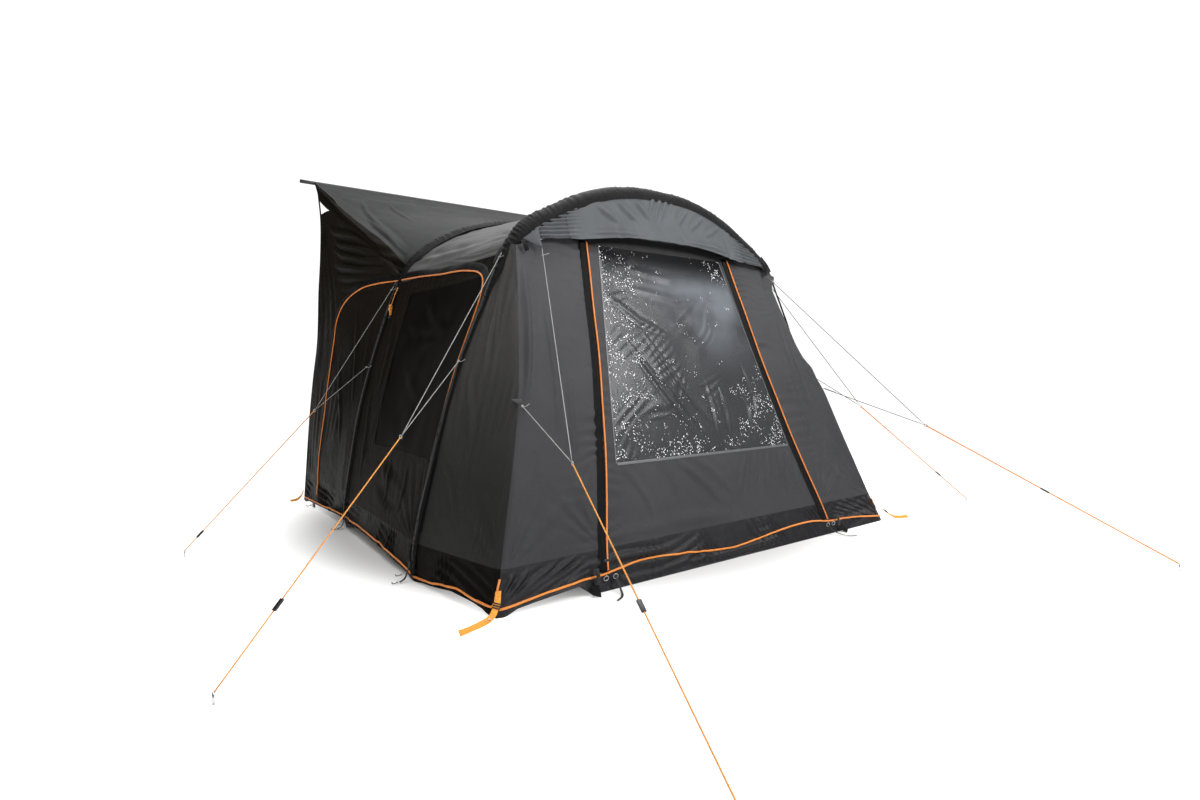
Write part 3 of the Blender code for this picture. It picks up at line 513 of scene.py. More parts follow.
def ribbon(name, look, path, ups, width, thickness=0.0015, crown=0.0, edges=6):
    """Flat webbing or tape along a path, with rounded edges; crown lifts its middle."""
    path = [Vector(p) for p in path]
    widths = width if isinstance(width, (list, tuple)) else [width] * len(path)
    verts, uvs = [], []
    span = 0.0
    for i, p in enumerate(path):
        if i:
            span += (p - path[i - 1]).length
        t = (path[min(i + 1, len(path) - 1)] - path[max(i - 1, 0)]).normalized()
        side = t.cross(Vector(ups[i])).normalized()
        up = side.cross(t).normalized()
        for top in (1, -1):
            for k in range(edges + 1):
                s = (k / edges * 2 - 1) * top
                shape = math.sqrt(max(0.0, 1 - abs(s) ** 6))
                lift = crown * (1 - s * s) + top * thickness / 2 * shape + thickness / 2
                verts.append(p + side * s * widths[i] / 2 + up * lift)
                uvs.append((s * widths[i] / 2, span))
    ring = 2 * (edges + 1)
    faces = [(i * ring + k, i * ring + (k + 1) % ring, (i + 1) * ring + (k + 1) % ring, (i + 1) * ring + k)
             for i in range(len(path) - 1) for k in range(ring)]
    faces.append(tuple(reversed(range(ring))))
    faces.append(tuple(range((len(path) - 1) * ring, len(path) * ring)))
    return mesh_object(name, [tuple(v) for v in verts], faces, look, uv=uvs)


def torus(name, look, centre, axis, radius, thick, scale=(1, 1), turns=24, sides=8):
    """Closed ring round an axis; scale makes it oval."""
    axis = Vector(axis).normalized()
    a = axis.orthogonal().normalized()
    b = axis.cross(a)
    verts, faces = [], []
    for i in range(turns):
        t = 2 * math.pi * i / turns
        out = a * math.cos(t) * scale[0] + b * math.sin(t) * scale[1]
        middle = Vector(centre) + out * radius
        flat = out.normalized()
        for k in range(sides):
            u = 2 * math.pi * k / sides
            verts.append(tuple(middle + (flat * math.cos(u) + axis * math.sin(u)) * thick))
            faces.append((i * sides + k, i * sides + (k + 1) % sides,
                          (i + 1) % turns * sides + (k + 1) % sides, (i + 1) % turns * sides + k))
    return mesh_object(name, verts, [tuple(reversed(f)) for f in faces], look)


def block(name, look, centre, along, up, size, bevel=0.002):
    """Small moulded piece with rounded edges."""
    along = Vector(along).normalized()
    side = along.cross(Vector(up)).normalized()
    up = side.cross(along)
    half = [s / 2 for s in size]
    verts = [tuple(Vector(centre) + along * half[0] * x + side * half[1] * y + up * half[2] * z)
             for x in (-1, 1) for y in (-1, 1) for z in (-1, 1)]
    faces = [(0, 1, 3, 2), (4, 6, 7, 5), (0, 4, 5, 1), (2, 3, 7, 6), (0, 2, 6, 4), (1, 5, 7, 3)]
    obj = mesh_object(name, verts, faces, look, smooth_faces=False)
    edge = obj.modifiers.new("soft", "BEVEL")
    edge.width = bevel
    edge.segments = 3
    obj.data.polygons.foreach_set("use_smooth", [True] * len(obj.data.polygons))
    return obj


class Skin:
    """Finds points on finished sheets by looking at them from outside."""

    def __init__(self, names):
        verts, faces = [], []
        for name in names:
            start = len(verts)
            points, quads = SKINS[name]
            verts += points.tolist()
            faces += [[start + k for k in q] for q in quads]
        self.tree = BVHTree.FromPolygons(verts, faces)

    def look(self, start, direction, lift=0.0):
        hit, normal, _, _ = self.tree.ray_cast(Vector(start), Vector(direction))
        if hit is None:
            hit, normal, _, _ = self.tree.find_nearest(Vector(start) + Vector(direction) * 3)
        if normal.dot(Vector(direction)) > 0:
            normal = -normal
        return hit + normal * lift, normal

    def side(self, y, z, sign, lift=0.0):
        return self.look((4 * sign, y, z), (-sign, 0, 0), lift)

    def front(self, x, z, lift=0.0):
        return self.look((x, -4, z), (0, 1, 0), lift)

    def near(self, point, lift=0.0, out=None):
        hit, normal, _, _ = self.tree.find_nearest(Vector(point))
        if out is not None and normal.dot(Vector(out)) < 0:
            normal = -normal
        return hit + normal * lift, normal


def line_points(points, spacing):
    """Points spaced evenly along a smooth control line."""
    pts = [Vector(p) for p in points]
    total = sum((b - a).length for a, b in zip(pts, pts[1:]))
    count = max(2, round(total / spacing))
    return [smooth(pts, i / count) for i in range(count + 1)]


# Materials.
def start_material(name):
    made = bpy.data.materials.new(name)
    made.use_nodes = True
    return made, made.node_tree.nodes, made.node_tree.links, made.node_tree.nodes["Principled BSDF"]


def node(nodes, kind, **inputs):
    made = nodes.new(kind)
    for key, value in inputs.items():
        made.inputs[key.replace("_", " ")].default_value = value
    return made


def maths(nodes, links, kind, a, b=None):
    made = nodes.new("ShaderNodeMath")
    made.operation = kind
    for socket, value in zip(made.inputs, (a, b)):
        if value is None:
            continue
        if isinstance(value, (int, float)):
            socket.default_value = value
        else:
            links.new(value, socket)
    return made.outputs[0]


def soft_step(nodes, links, value, low, high):
    made = nodes.new("ShaderNodeMapRange")
    made.interpolation_type = "SMOOTHSTEP"
    made.inputs["From Min"].default_value = low
    made.inputs["From Max"].default_value = high
    links.new(value, made.inputs["Value"])
    return made.outputs[0]


def ramp(nodes, links, source, stops):
    made = nodes.new("ShaderNodeValToRGB")
    links.new(source, made.inputs[0])
    elements = made.color_ramp.elements
    while len(elements) < len(stops):
        elements.new(0.5)
    for element, (place, colour) in zip(elements, stops):
        element.position = place
        element.color = (*colour, 1.0) if len(colour) == 3 else colour
    return made.outputs[0]


def scaled(colour, factor):
    return tuple(min(1.0, c * factor) for c in colour)


def fabric(name, colour, roughness=0.55, vary=0.14, crinkle=1.0, specular=0.30, weave=0.0011, low=1.0, eave_shadow=0.0):
    """Woven polyester: crossed threads, small crinkles and creases, and a little colour drift; the colour is also
    darkened towards the bottom as painted shade, down to the share low, and under the header's edge as a painted
    shadow.
    """
    made, nodes, links, shader = start_material(name)
    place = nodes.new("ShaderNodeTexCoord")
    split = nodes.new("ShaderNodeSeparateXYZ")
    links.new(place.outputs["UV"], split.inputs[0])
    warp = maths(nodes, links, "SINE", maths(nodes, links, "MULTIPLY", split.outputs[0], 2 * math.pi / weave))
    weft = maths(nodes, links, "SINE", maths(nodes, links, "MULTIPLY", split.outputs[1], 2 * math.pi / weave))
    thread = maths(nodes, links, "MULTIPLY", warp, weft)
    drift = node(nodes, "ShaderNodeTexNoise", Scale=2.6, Detail=5.0, Roughness=0.6)
    grain = node(nodes, "ShaderNodeTexNoise", Scale=420.0, Detail=2.0, Roughness=0.7)
    small = node(nodes, "ShaderNodeTexNoise", Scale=17.0, Detail=6.0, Roughness=0.60, Distortion=0.6)
    for texture in (drift, grain, small):
        links.new(place.outputs["Object"], texture.inputs["Vector"])
    mixed = maths(nodes, links, "ADD", maths(nodes, links, "MULTIPLY", drift.outputs[0], 0.75),
                  maths(nodes, links, "MULTIPLY", grain.outputs[0], 0.25))
    tint = ramp(nodes, links, mixed, [(0.32, scaled(colour, 1 - vary)), (0.68, scaled(colour, 1 + vary))])
    heights = nodes.new("ShaderNodeSeparateXYZ")
    links.new(place.outputs["Object"], heights.inputs[0])
    # Painted shade: the colour keeps the share low at z 0.3 and rises to full at z 1.65, as if lit from above.
    fade = maths(nodes, links, "ADD", maths(nodes, links, "MULTIPLY",
                 soft_step(nodes, links, heights.outputs[2], 0.3, 1.65), 1.0 - low), low)
    # Painted shadow of the header: cloth at z 1.66 to 1.73, within 0.6 to 0.7 of the middle, is darkened by this share.
    if eave_shadow:
        wide = maths(nodes, links, "ABSOLUTE", heights.outputs[0], 0.0)
        under = maths(nodes, links, "MULTIPLY", soft_step(nodes, links, heights.outputs[2], 1.66, 1.73),
                      soft_step(nodes, links, maths(nodes, links, "MULTIPLY", wide, -1.0), -0.70, -0.60))
        fade = maths(nodes, links, "MULTIPLY", fade, maths(nodes, links, "SUBTRACT", 1.0, maths(nodes, links, "MULTIPLY", under, eave_shadow)))
    shade = nodes.new("ShaderNodeVectorMath")
    shade.operation = "SCALE"
    links.new(tint, shade.inputs[0])
    links.new(fade, shade.inputs["Scale"])
    links.new(shade.outputs[0], shader.inputs["Base Color"])
    rough = nodes.new("ShaderNodeMapRange")
    rough.inputs["To Min"].default_value = roughness - 0.07
    rough.inputs["To Max"].default_value = roughness + 0.09
    links.new(small.outputs[0], rough.inputs["Value"])
    links.new(rough.outputs[0], shader.inputs["Roughness"])
    push = nodes.new("ShaderNodeVectorMath")
    push.operation = "MULTIPLY_ADD"
    push.inputs[1].default_value = (0.10, 0.10, 0.10)
    links.new(small.outputs["Color"], push.inputs[0])
    links.new(place.outputs["Object"], push.inputs[2])
    cells = nodes.new("ShaderNodeTexVoronoi")
    cells.feature = "DISTANCE_TO_EDGE"
    cells.inputs["Scale"].default_value = 7.0
    links.new(push.outputs[0], cells.inputs["Vector"])
    lines = soft_step(nodes, links, cells.outputs["Distance"], 0.0, 0.16)
    height = maths(nodes, links, "ADD", maths(nodes, links, "MULTIPLY", thread, 0.03),
                   maths(nodes, links, "MULTIPLY", small.outputs[0], 1.0))
    height = maths(nodes, links, "ADD", height, maths(nodes, links, "MULTIPLY", lines, 0.10))
    lift = node(nodes, "ShaderNodeBump", Strength=0.55, Distance=0.006 * crinkle)
    links.new(height, lift.inputs["Height"])
    links.new(lift.outputs[0], shader.inputs["Normal"])
    shader.inputs["Specular IOR Level"].default_value = specular
    return made


def webbing(name, colour, roughness=0.6, pitch=0.0024):
    """Narrow woven tape: ribs across it and fine threads along it."""
    made, nodes, links, shader = start_material(name)
    place = nodes.new("ShaderNodeTexCoord")
    split = nodes.new("ShaderNodeSeparateXYZ")
    links.new(place.outputs["UV"], split.inputs[0])
    rib = maths(nodes, links, "SINE", maths(nodes, links, "MULTIPLY", split.outputs[1], 2 * math.pi / pitch))
    cross = maths(nodes, links, "SINE", maths(nodes, links, "MULTIPLY", split.outputs[0], 2 * math.pi / 0.0017))
    weave = maths(nodes, links, "ADD", rib, maths(nodes, links, "MULTIPLY", cross, 0.5))
    grain = node(nodes, "ShaderNodeTexNoise", Scale=160.0, Detail=5.0, Roughness=0.65)
    links.new(place.outputs["Object"], grain.inputs["Vector"])
    shade = maths(nodes, links, "ADD", maths(nodes, links, "MULTIPLY", weave, 0.05), grain.outputs[0])
    tint = ramp(nodes, links, shade, [(0.3, scaled(colour, 0.72)), (0.72, scaled(colour, 1.15))])
    links.new(tint, shader.inputs["Base Color"])
    lift = node(nodes, "ShaderNodeBump", Strength=0.45, Distance=0.0006)
    links.new(weave, lift.inputs["Height"])
    links.new(lift.outputs[0], shader.inputs["Normal"])
    shader.inputs["Roughness"].default_value = roughness
    shader.inputs["Sheen Weight"].default_value = 0.1
    return made


def plastic(name, colour, roughness=0.4, metallic=0.0, scale=60.0):
    """Moulded or drawn piece with fine wear."""
    made, nodes, links, shader = start_material(name)
    place = nodes.new("ShaderNodeTexCoord")
    grain = node(nodes, "ShaderNodeTexNoise", Scale=scale, Detail=6.0, Roughness=0.6)
    links.new(place.outputs["Object"], grain.inputs["Vector"])
    tint = ramp(nodes, links, grain.outputs[0], [(0.35, scaled(colour, 0.82)), (0.7, scaled(colour, 1.15))])
    links.new(tint, shader.inputs["Base Color"])
    rough = nodes.new("ShaderNodeMapRange")
    rough.inputs["To Min"].default_value = roughness - 0.08
    rough.inputs["To Max"].default_value = roughness + 0.12
    links.new(grain.outputs[0], rough.inputs["Value"])
    links.new(rough.outputs[0], shader.inputs["Roughness"])
    lift = node(nodes, "ShaderNodeBump", Strength=0.12, Distance=0.001)
    links.new(grain.outputs[0], lift.inputs["Height"])
    links.new(lift.outputs[0], shader.inputs["Normal"])
    shader.inputs["Metallic"].default_value = metallic
    return made


def rope(name, colour, pitch=0.006, roughness=0.6):
    """Braided cord: slanting strands round a thin line."""
    made, nodes, links, shader = start_material(name)
    place = nodes.new("ShaderNodeTexCoord")
    split = nodes.new("ShaderNodeSeparateXYZ")
    links.new(place.outputs["UV"], split.inputs[0])
    one = maths(nodes, links, "SINE", maths(nodes, links, "MULTIPLY",
                maths(nodes, links, "ADD", split.outputs[0], split.outputs[1]), 2 * math.pi / pitch))
    two = maths(nodes, links, "SINE", maths(nodes, links, "MULTIPLY",
                maths(nodes, links, "SUBTRACT", split.outputs[0], split.outputs[1]), 2 * math.pi / pitch))
    braid = maths(nodes, links, "MULTIPLY", one, two)
    tint = ramp(nodes, links, maths(nodes, links, "ADD", maths(nodes, links, "MULTIPLY", braid, 0.5), 0.5),
                [(0.2, scaled(colour, 0.7)), (0.75, scaled(colour, 1.1))])
    links.new(tint, shader.inputs["Base Color"])
    lift = node(nodes, "ShaderNodeBump", Strength=0.5, Distance=0.0008)
    links.new(braid, lift.inputs["Height"])
    links.new(lift.outputs[0], shader.inputs["Normal"])
    shader.inputs["Roughness"].default_value = roughness
    return made


def dark_film(name):
    """Tinted vinyl pane: almost black, with faint soft reflections."""
    made, nodes, links, shader = start_material(name)
    place = nodes.new("ShaderNodeTexCoord")
    cloud = node(nodes, "ShaderNodeTexNoise", Scale=3.0, Detail=4.0, Roughness=0.5)
    links.new(place.outputs["Object"], cloud.inputs["Vector"])
    links.new(ramp(nodes, links, cloud.outputs[0], [(0.35, (0.0022, 0.0018, 0.0014)), (0.7, (0.0050, 0.0044, 0.0036))]),
              shader.inputs["Base Color"])
    rough = nodes.new("ShaderNodeMapRange")
    rough.inputs["To Min"].default_value = 0.30
    rough.inputs["To Max"].default_value = 0.44
    links.new(cloud.outputs[0], rough.inputs["Value"])
    links.new(rough.outputs[0], shader.inputs["Roughness"])
    shader.inputs["Specular IOR Level"].default_value = 0.012
    shader.inputs["Alpha"].default_value = 1.0
    return made


def clear_film(name):
    """Clear crinkled vinyl: see-through tint, a painted cloudy reflection near the top, painted white glints in patches
    that also glow, and a painted shadow under the header at the top.
    """
    made, nodes, links, shader = start_material(name)
    place = nodes.new("ShaderNodeTexCoord")
    split = nodes.new("ShaderNodeSeparateXYZ")
    links.new(place.outputs["Object"], split.inputs[0])
    across_x, height = split.outputs[0], split.outputs[2]
    cloud = node(nodes, "ShaderNodeTexNoise", Scale=2.2, Detail=3.0, Roughness=0.5)
    links.new(place.outputs["Object"], cloud.inputs["Vector"])
    # Painted reflection: bright cloudy band at z 1.2 to 1.6, right of the middle.
    band = maths(nodes, links, "MULTIPLY", soft_step(nodes, links, height, 0.95, 1.45),
                 soft_step(nodes, links, maths(nodes, links, "MULTIPLY", height, -1.0), -1.70, -1.50))
    right = soft_step(nodes, links, across_x, -0.45, 0.20)
    painted_reflection = maths(nodes, links, "MULTIPLY", maths(nodes, links, "MULTIPLY", band, right),
                 soft_step(nodes, links, cloud.outputs[0], 0.30, 0.62))
    # Painted glints: thin curved marks, cut short, inside patches that thicken to the left and the lower edge.
    warp = node(nodes, "ShaderNodeTexNoise", Scale=24.0, Detail=3.0)
    links.new(place.outputs["Object"], warp.inputs["Vector"])
    push = nodes.new("ShaderNodeVectorMath")
    push.operation = "MULTIPLY_ADD"
    push.inputs[1].default_value = (0.012, 0.012, 0.012)
    links.new(warp.outputs["Color"], push.inputs[0])
    links.new(place.outputs["Object"], push.inputs[2])
    patch = node(nodes, "ShaderNodeTexNoise", Scale=11.0, Detail=6.0, Roughness=0.78)
    links.new(place.outputs["Object"], patch.inputs["Vector"])
    left_side = soft_step(nodes, links, maths(nodes, links, "MULTIPLY", across_x, -1.0), 0.02, 0.55)
    low_side = maths(nodes, links, "MULTIPLY", soft_step(nodes, links, maths(nodes, links, "MULTIPLY", height, -1.0), -0.95, -0.58),
                     maths(nodes, links, "ADD", maths(nodes, links, "MULTIPLY",
                           soft_step(nodes, links, maths(nodes, links, "MULTIPLY", across_x, -1.0), -0.05, 0.30), 0.6), 0.4))
    right_low = maths(nodes, links, "MULTIPLY", soft_step(nodes, links, across_x, 0.22, 0.50),
                      soft_step(nodes, links, maths(nodes, links, "MULTIPLY", height, -1.0), -1.25, -0.75))
    sides = maths(nodes, links, "MULTIPLY", across_x, across_x)
    top = maths(nodes, links, "MULTIPLY", soft_step(nodes, links, height, 1.52, 1.60), soft_step(nodes, links, sides, 0.08, 0.16))
    gain = maths(nodes, links, "MAXIMUM", maths(nodes, links, "MAXIMUM", left_side, low_side),
                 maths(nodes, links, "MAXIMUM", right_low, top))
    cover = maths(nodes, links, "ADD", patch.outputs[0], maths(nodes, links, "MULTIPLY", gain, 0.125))
    some = maths(nodes, links, "GREATER_THAN", cover, 0.615)
    glints = None
    for scale, stretch, size, share in ((145.0, (1.0, 1.0, 0.8), 0.29, 0.70), (95.0, (1.0, 1.0, 0.5), 0.16, 0.80),
                                        (130.0, (0.42, 1.0, 1.2), 0.21, 0.72)):
        sized = nodes.new("ShaderNodeVectorMath")
        sized.operation = "MULTIPLY"
        sized.inputs[1].default_value = stretch
        links.new(push.outputs[0], sized.inputs[0])
        cells = nodes.new("ShaderNodeTexVoronoi")
        cells.inputs["Scale"].default_value = scale
        links.new(sized.outputs[0], cells.inputs["Vector"])
        dot = maths(nodes, links, "LESS_THAN", cells.outputs["Distance"], size)
        pick = nodes.new("ShaderNodeSeparateXYZ")
        links.new(cells.outputs["Color"], pick.inputs[0])
        chosen = maths(nodes, links, "GREATER_THAN", pick.outputs[0], share)
        both = maths(nodes, links, "MULTIPLY", maths(nodes, links, "MULTIPLY", dot, chosen), some)
        glints = both if glints is None else maths(nodes, links, "MAXIMUM", glints, both)
    # Painted reflection: the dark see-through tint turns pale blue-grey inside the band, and the painted glints turn it
    # near white.
    tint = nodes.new("ShaderNodeMix")
    tint.data_type = "RGBA"
    links.new(painted_reflection, tint.inputs[0])
    tint.inputs[6].default_value = (0.044, 0.045, 0.049, 1.0)
    tint.inputs[7].default_value = (0.135, 0.148, 0.165, 1.0)
    whiten = nodes.new("ShaderNodeMix")
    whiten.data_type = "RGBA"
    links.new(glints, whiten.inputs[0])
    links.new(tint.outputs[2], whiten.inputs[6])
    whiten.inputs[7].default_value = (0.95, 0.95, 0.97, 1.0)
    # Painted shadow under the header: above z 1.5 to 1.7 the colour dims to 0.18 of itself except on the glints, and
    # the reflection weakens.
    outside_header_shadow = soft_step(nodes, links, maths(nodes, links, "MULTIPLY", height, -1.0), -1.70, -1.50)
    dim = nodes.new("ShaderNodeVectorMath")
    dim.operation = "SCALE"
    links.new(whiten.outputs[2], dim.inputs[0])
    links.new(maths(nodes, links, "MAXIMUM", maths(nodes, links, "ADD", maths(nodes, links, "MULTIPLY", outside_header_shadow, 0.82),
              0.18), glints), dim.inputs["Scale"])
    links.new(dim.outputs[0], shader.inputs["Base Color"])
    solid = maths(nodes, links, "ADD", maths(nodes, links, "MULTIPLY", painted_reflection, 0.10), 0.84)
    links.new(maths(nodes, links, "MAXIMUM", solid, glints), shader.inputs["Alpha"])
    # The painted glints also glow by emission.
    links.new(whiten.outputs[2], shader.inputs["Emission Color"])
    links.new(maths(nodes, links, "MULTIPLY", glints, 0.8), shader.inputs["Emission Strength"])
    crinkle = node(nodes, "ShaderNodeTexNoise", Scale=14.0, Detail=5.0, Roughness=0.6)
    links.new(place.outputs["Object"], crinkle.inputs["Vector"])
    lift = node(nodes, "ShaderNodeBump", Strength=0.25, Distance=0.004)
    links.new(crinkle.outputs[0], lift.inputs["Height"])
    links.new(lift.outputs[0], shader.inputs["Normal"])
    shader.inputs["Roughness"].default_value = 0.25
    shader.inputs["IOR"].default_value = 1.45
    links.new(maths(nodes, links, "ADD", maths(nodes, links, "MULTIPLY", outside_header_shadow, 0.24), 0.02), shader.inputs["Specular IOR Level"])
    return made


# For each cloth, low is the share of its colour kept at the bottom as painted shade; the front's eave share darkens it
# under the header as a painted shadow.
LOOK = {
    "side": fabric("cloth_side", (0.0088, 0.0072, 0.0054), 0.50, crinkle=1.3, specular=0.020),
    "tunnel": fabric("cloth_tunnel", (0.0105, 0.0086, 0.0066), 0.44, crinkle=1.2, specular=0.030, low=0.36),
    "corner": fabric("cloth_corner", (0.060, 0.059, 0.058), 0.52, crinkle=1.5, specular=0.10, low=0.33),
    "front": fabric("cloth_front", (0.0420, 0.0425, 0.0455), 0.55, crinkle=1.3, specular=0.20, low=0.80, eave_shadow=0.75),
    "roof": fabric("cloth_roof", (0.080, 0.080, 0.080), 0.52, specular=0.20),
    "cowl": fabric("cloth_cowl", (0.0185, 0.0190, 0.0195), 0.52, crinkle=0.6, specular=0.15),
    "header": fabric("cloth_header", (0.071, 0.0765, 0.083), 0.55, crinkle=1.0, specular=0.25),
    "skirt": fabric("cloth_skirt", (0.0052, 0.0050, 0.0068), 0.38, crinkle=1.3, specular=0.30),
    "skirt_side": fabric("cloth_skirt_side", (0.0048, 0.0043, 0.0038), 0.44, crinkle=1.4, specular=0.04),
    "sleeve": fabric("cloth_sleeve", (0.0032, 0.0032, 0.0034), 0.46, crinkle=1.8, specular=0.12),
    "flap": fabric("cloth_flap", (0.0030, 0.0030, 0.0032), 0.50, crinkle=2.0, specular=0.10),
    "web": webbing("webbing_black", (0.0030, 0.0030, 0.0033), 0.75),
    "orange": webbing("trim_orange", (0.90, 0.35, 0.022), 0.55),
    "hem": webbing("trim_hem", (0.88, 0.27, 0.028), 0.55),
    "zip": webbing("zip_orange", (0.82, 0.23, 0.026), 0.45, pitch=0.0032),
    "bar": plastic("bar_moulding", (0.020, 0.020, 0.021), 0.45),
    "dark_plastic": plastic("plastic_black", (0.012, 0.012, 0.013), 0.35),
    "steel": plastic("steel_ring", (0.55, 0.56, 0.58), 0.3, metallic=1.0, scale=120),
    "beam": fabric("beam_sheath", (0.010, 0.010, 0.011), 0.42, weave=0.002, crinkle=0.4),
    "white": rope("cord_white", (0.37, 0.37, 0.36)),
    # Grey copy of the white cord, used on the right-hand bridles as painted shade.
    "cord": rope("cord_white_painted_shade", (0.13, 0.13, 0.128)),
    "guy": rope("cord_orange", (0.80, 0.32, 0.05), 0.007),
    "tape": plastic("seam_tape", (0.10, 0.102, 0.108), 0.35, scale=420.0),
    "film": clear_film("film_clear"),
    "dark_film": dark_film("film_dark"),
}


def grid(rows, columns, t0=0.0, t1=1.0, v0=0.0, v1=1.0):
    return np.meshgrid(np.linspace(t0, t1, rows), np.linspace(v0, v1, columns), indexing="ij")


def side_coords(p):
    return np.stack([p[..., 1], p[..., 2]], -1)


def front_coords(p):
    return np.stack([p[..., 0], p[..., 2]], -1)


def plan_coords(p):
    return np.stack([p[..., 0], p[..., 1]], -1)


SIDES = (("left", True), ("right", False))

# Wall between the arches, with its window opening.
WINDOW_T = (0.25, 0.893)
WALL_TOP = 0.963


def window_v(t):
    """Front and rear edges of the side window at level t."""
    share = np.clip((t - WINDOW_T[0]) / (WINDOW_T[1] - WINDOW_T[0]), 0, 1)
    return 0.036 + 0.058 * share**3, mix(0.741, 0.805, share)


def wall_grid():
    """Rows and columns that follow the window's edges."""
    t, c = grid(127, 121)
    t = np.interp(t, [0, 30 / 126, 105 / 126, 1], [0, WINDOW_T[0], WINDOW_T[1], WALL_TOP])
    front_v, rear_v = window_v(t)
    k = c * 120
    v = np.where(k < 6, k / 6 * front_v,
                 np.where(k < 90, front_v + (rear_v - front_v) * (k - 6) / 84, rear_v + (1 - rear_v) * (k - 90) / 30))
    return t, v


def wall_folds(p, seed):
    c = side_coords(p)
    lift = soft_noise(c, 0.28, 0.004, seed)
    lift += ripples(c, 0.085, 0.0022, 78, seed + 2, 0.45)
    lift += crease(c, 0.006, 0.022, [(1.95, 1.56), (1.80, 1.20), (1.76, 0.80)])
    lift += crease(c, 0.005, 0.020, [(1.90, 0.95), (1.82, 0.60), (1.80, 0.30)])
    lift += crease(c, 0.007, 0.030, [(1.55, 0.55), (1.35, 0.42), (0.95, 0.36)])
    lift += crease(c, -0.006, 0.028, [(1.60, 0.40), (1.20, 0.28), (0.80, 0.30)])
    lift += crease(c, 0.006, 0.018, [(1.35, 0.55), (1.28, 0.40), (1.30, 0.24)])
    lift += crease(c, 0.005, 0.018, [(1.05, 0.55), (1.00, 0.38), (1.06, 0.22)])
    lift += fan(c, (0.70, 0.16), (1, 0.75), 38, 5, 0.55, 0.006, seed + 5)
    return lift


def window_folds(p, seed):
    c = side_coords(p)
    lift = soft_noise(c, 0.25, 0.0022, seed)
    for height, width, path in (
            (0.006, 0.026, [(1.46, 1.44), (1.25, 1.33), (1.00, 1.25)]),
            (0.005, 0.024, [(1.62, 1.30), (1.40, 1.23), (1.10, 1.20)]),
            (0.003, 0.030, [(1.50, 1.05), (1.20, 0.90), (0.92, 0.80)])):
        lift += crease(c, height, width, path)
    return lift


def wall_top_grid():
    """The strip of roof cloth between the side zip and the roof."""
    return grid(16, 121, 0.0, 1.0)


WINDOW_EDGE = {}
for tag, left in SIDES:
    seed = 10 if left else 60
    t, v = wall_grid()
    base = wall_surface(t, v)
    keep = np.ones((126, 120), bool)
    keep[30:105, 6:90] = False
    lift = wall_folds(base, seed) * edge_fade(t.shape, 0.03)
    wr, wc = np.arange(127), np.arange(121)
    out_r = np.clip(np.maximum(30 - wr, wr - 105) / 8, 0, 1)[:, None]
    out_c = np.clip(np.maximum(6 - wc, wc - 90) / 6, 0, 1)[None, :]
    lift *= ease(np.maximum(out_r, out_c))
    cloth("wall_" + tag, "side_wall_" + tag, LOOK["side"], base, lift,
          flip=not left and False or left, keep=keep)
    pane = base[29:107, 5:92]
    inner = window_folds(pane, seed + 20) * edge_fade(pane.shape[:2], 0.05) - 0.0015
    frame_line = np.concatenate([base[30:106, 6], base[105, 7:91], base[30:105, 90][::-1], base[30, 6:90][::-1]])
    WINDOW_EDGE[tag] = frame_line if not left else flipped(frame_line)
    k, v = grid(16, 121, WALL_TOP, 1.0)
    strip = wall_surface(k, v)
    c = side_coords(strip)
    lift = ripples(c, 0.03, 0.002, 4, seed + 40, 0.3, -0.2) * edge_fade(k.shape, 0.12)
    cloth("wall_top_" + tag, None, LOOK["roof"], strip, lift,
          flip=left)
    cloth("window_side_" + tag, "side_window_" + tag, LOOK["dark_film"], pane, inner,
          flip=left)

# Corner panel from the ridge back to the front arch leg.
for tag, left in SIDES:
    seed = 30 if left else 80
    t, v = grid(150, 50)
    base = corner_surface(t, v)
    if not left:
        base = drawn_in(base, CORNER.at(level(CORNER, t)))
    c = side_coords(base)
    lift = soft_noise(c, 0.25, 0.0035, seed)
    lift += crease(c, 0.010, 0.015, [(0.62, 1.05), (0.50, 0.80), (0.42, 0.62)])
    lift += crease(c, 0.007, 0.012, [(0.58, 0.95), (0.48, 0.72), (0.44, 0.60)])
    lift += crease(c, 0.006, 0.012, [(0.63, 0.62), (0.52, 0.50), (0.40, 0.30)])
    lift += crease(c, 0.009, 0.014, [(0.60, 1.50), (0.55, 1.20), (0.49, 0.95)])
    lift += crease(c, 0.007, 0.010, [(0.585, 1.48), (0.53, 1.25), (0.48, 1.08)])
    lift += crease(c, 0.006, 0.010, [(0.62, 1.42), (0.59, 1.25), (0.56, 1.05)])
    lift += ripples(c, 0.045, 0.0030, 82, seed + 3, 0.3, -0.1)
    lift += fan(c, (0.02, 0.16), (0.55, 0.8), 40, 4, 0.5, 0.008, seed + 4)
    lift *= edge_fade(t.shape, 0.035)
    cloth("corner_" + tag, "corner_panel_" + tag, LOOK["corner"], base, lift,
          flip=left)


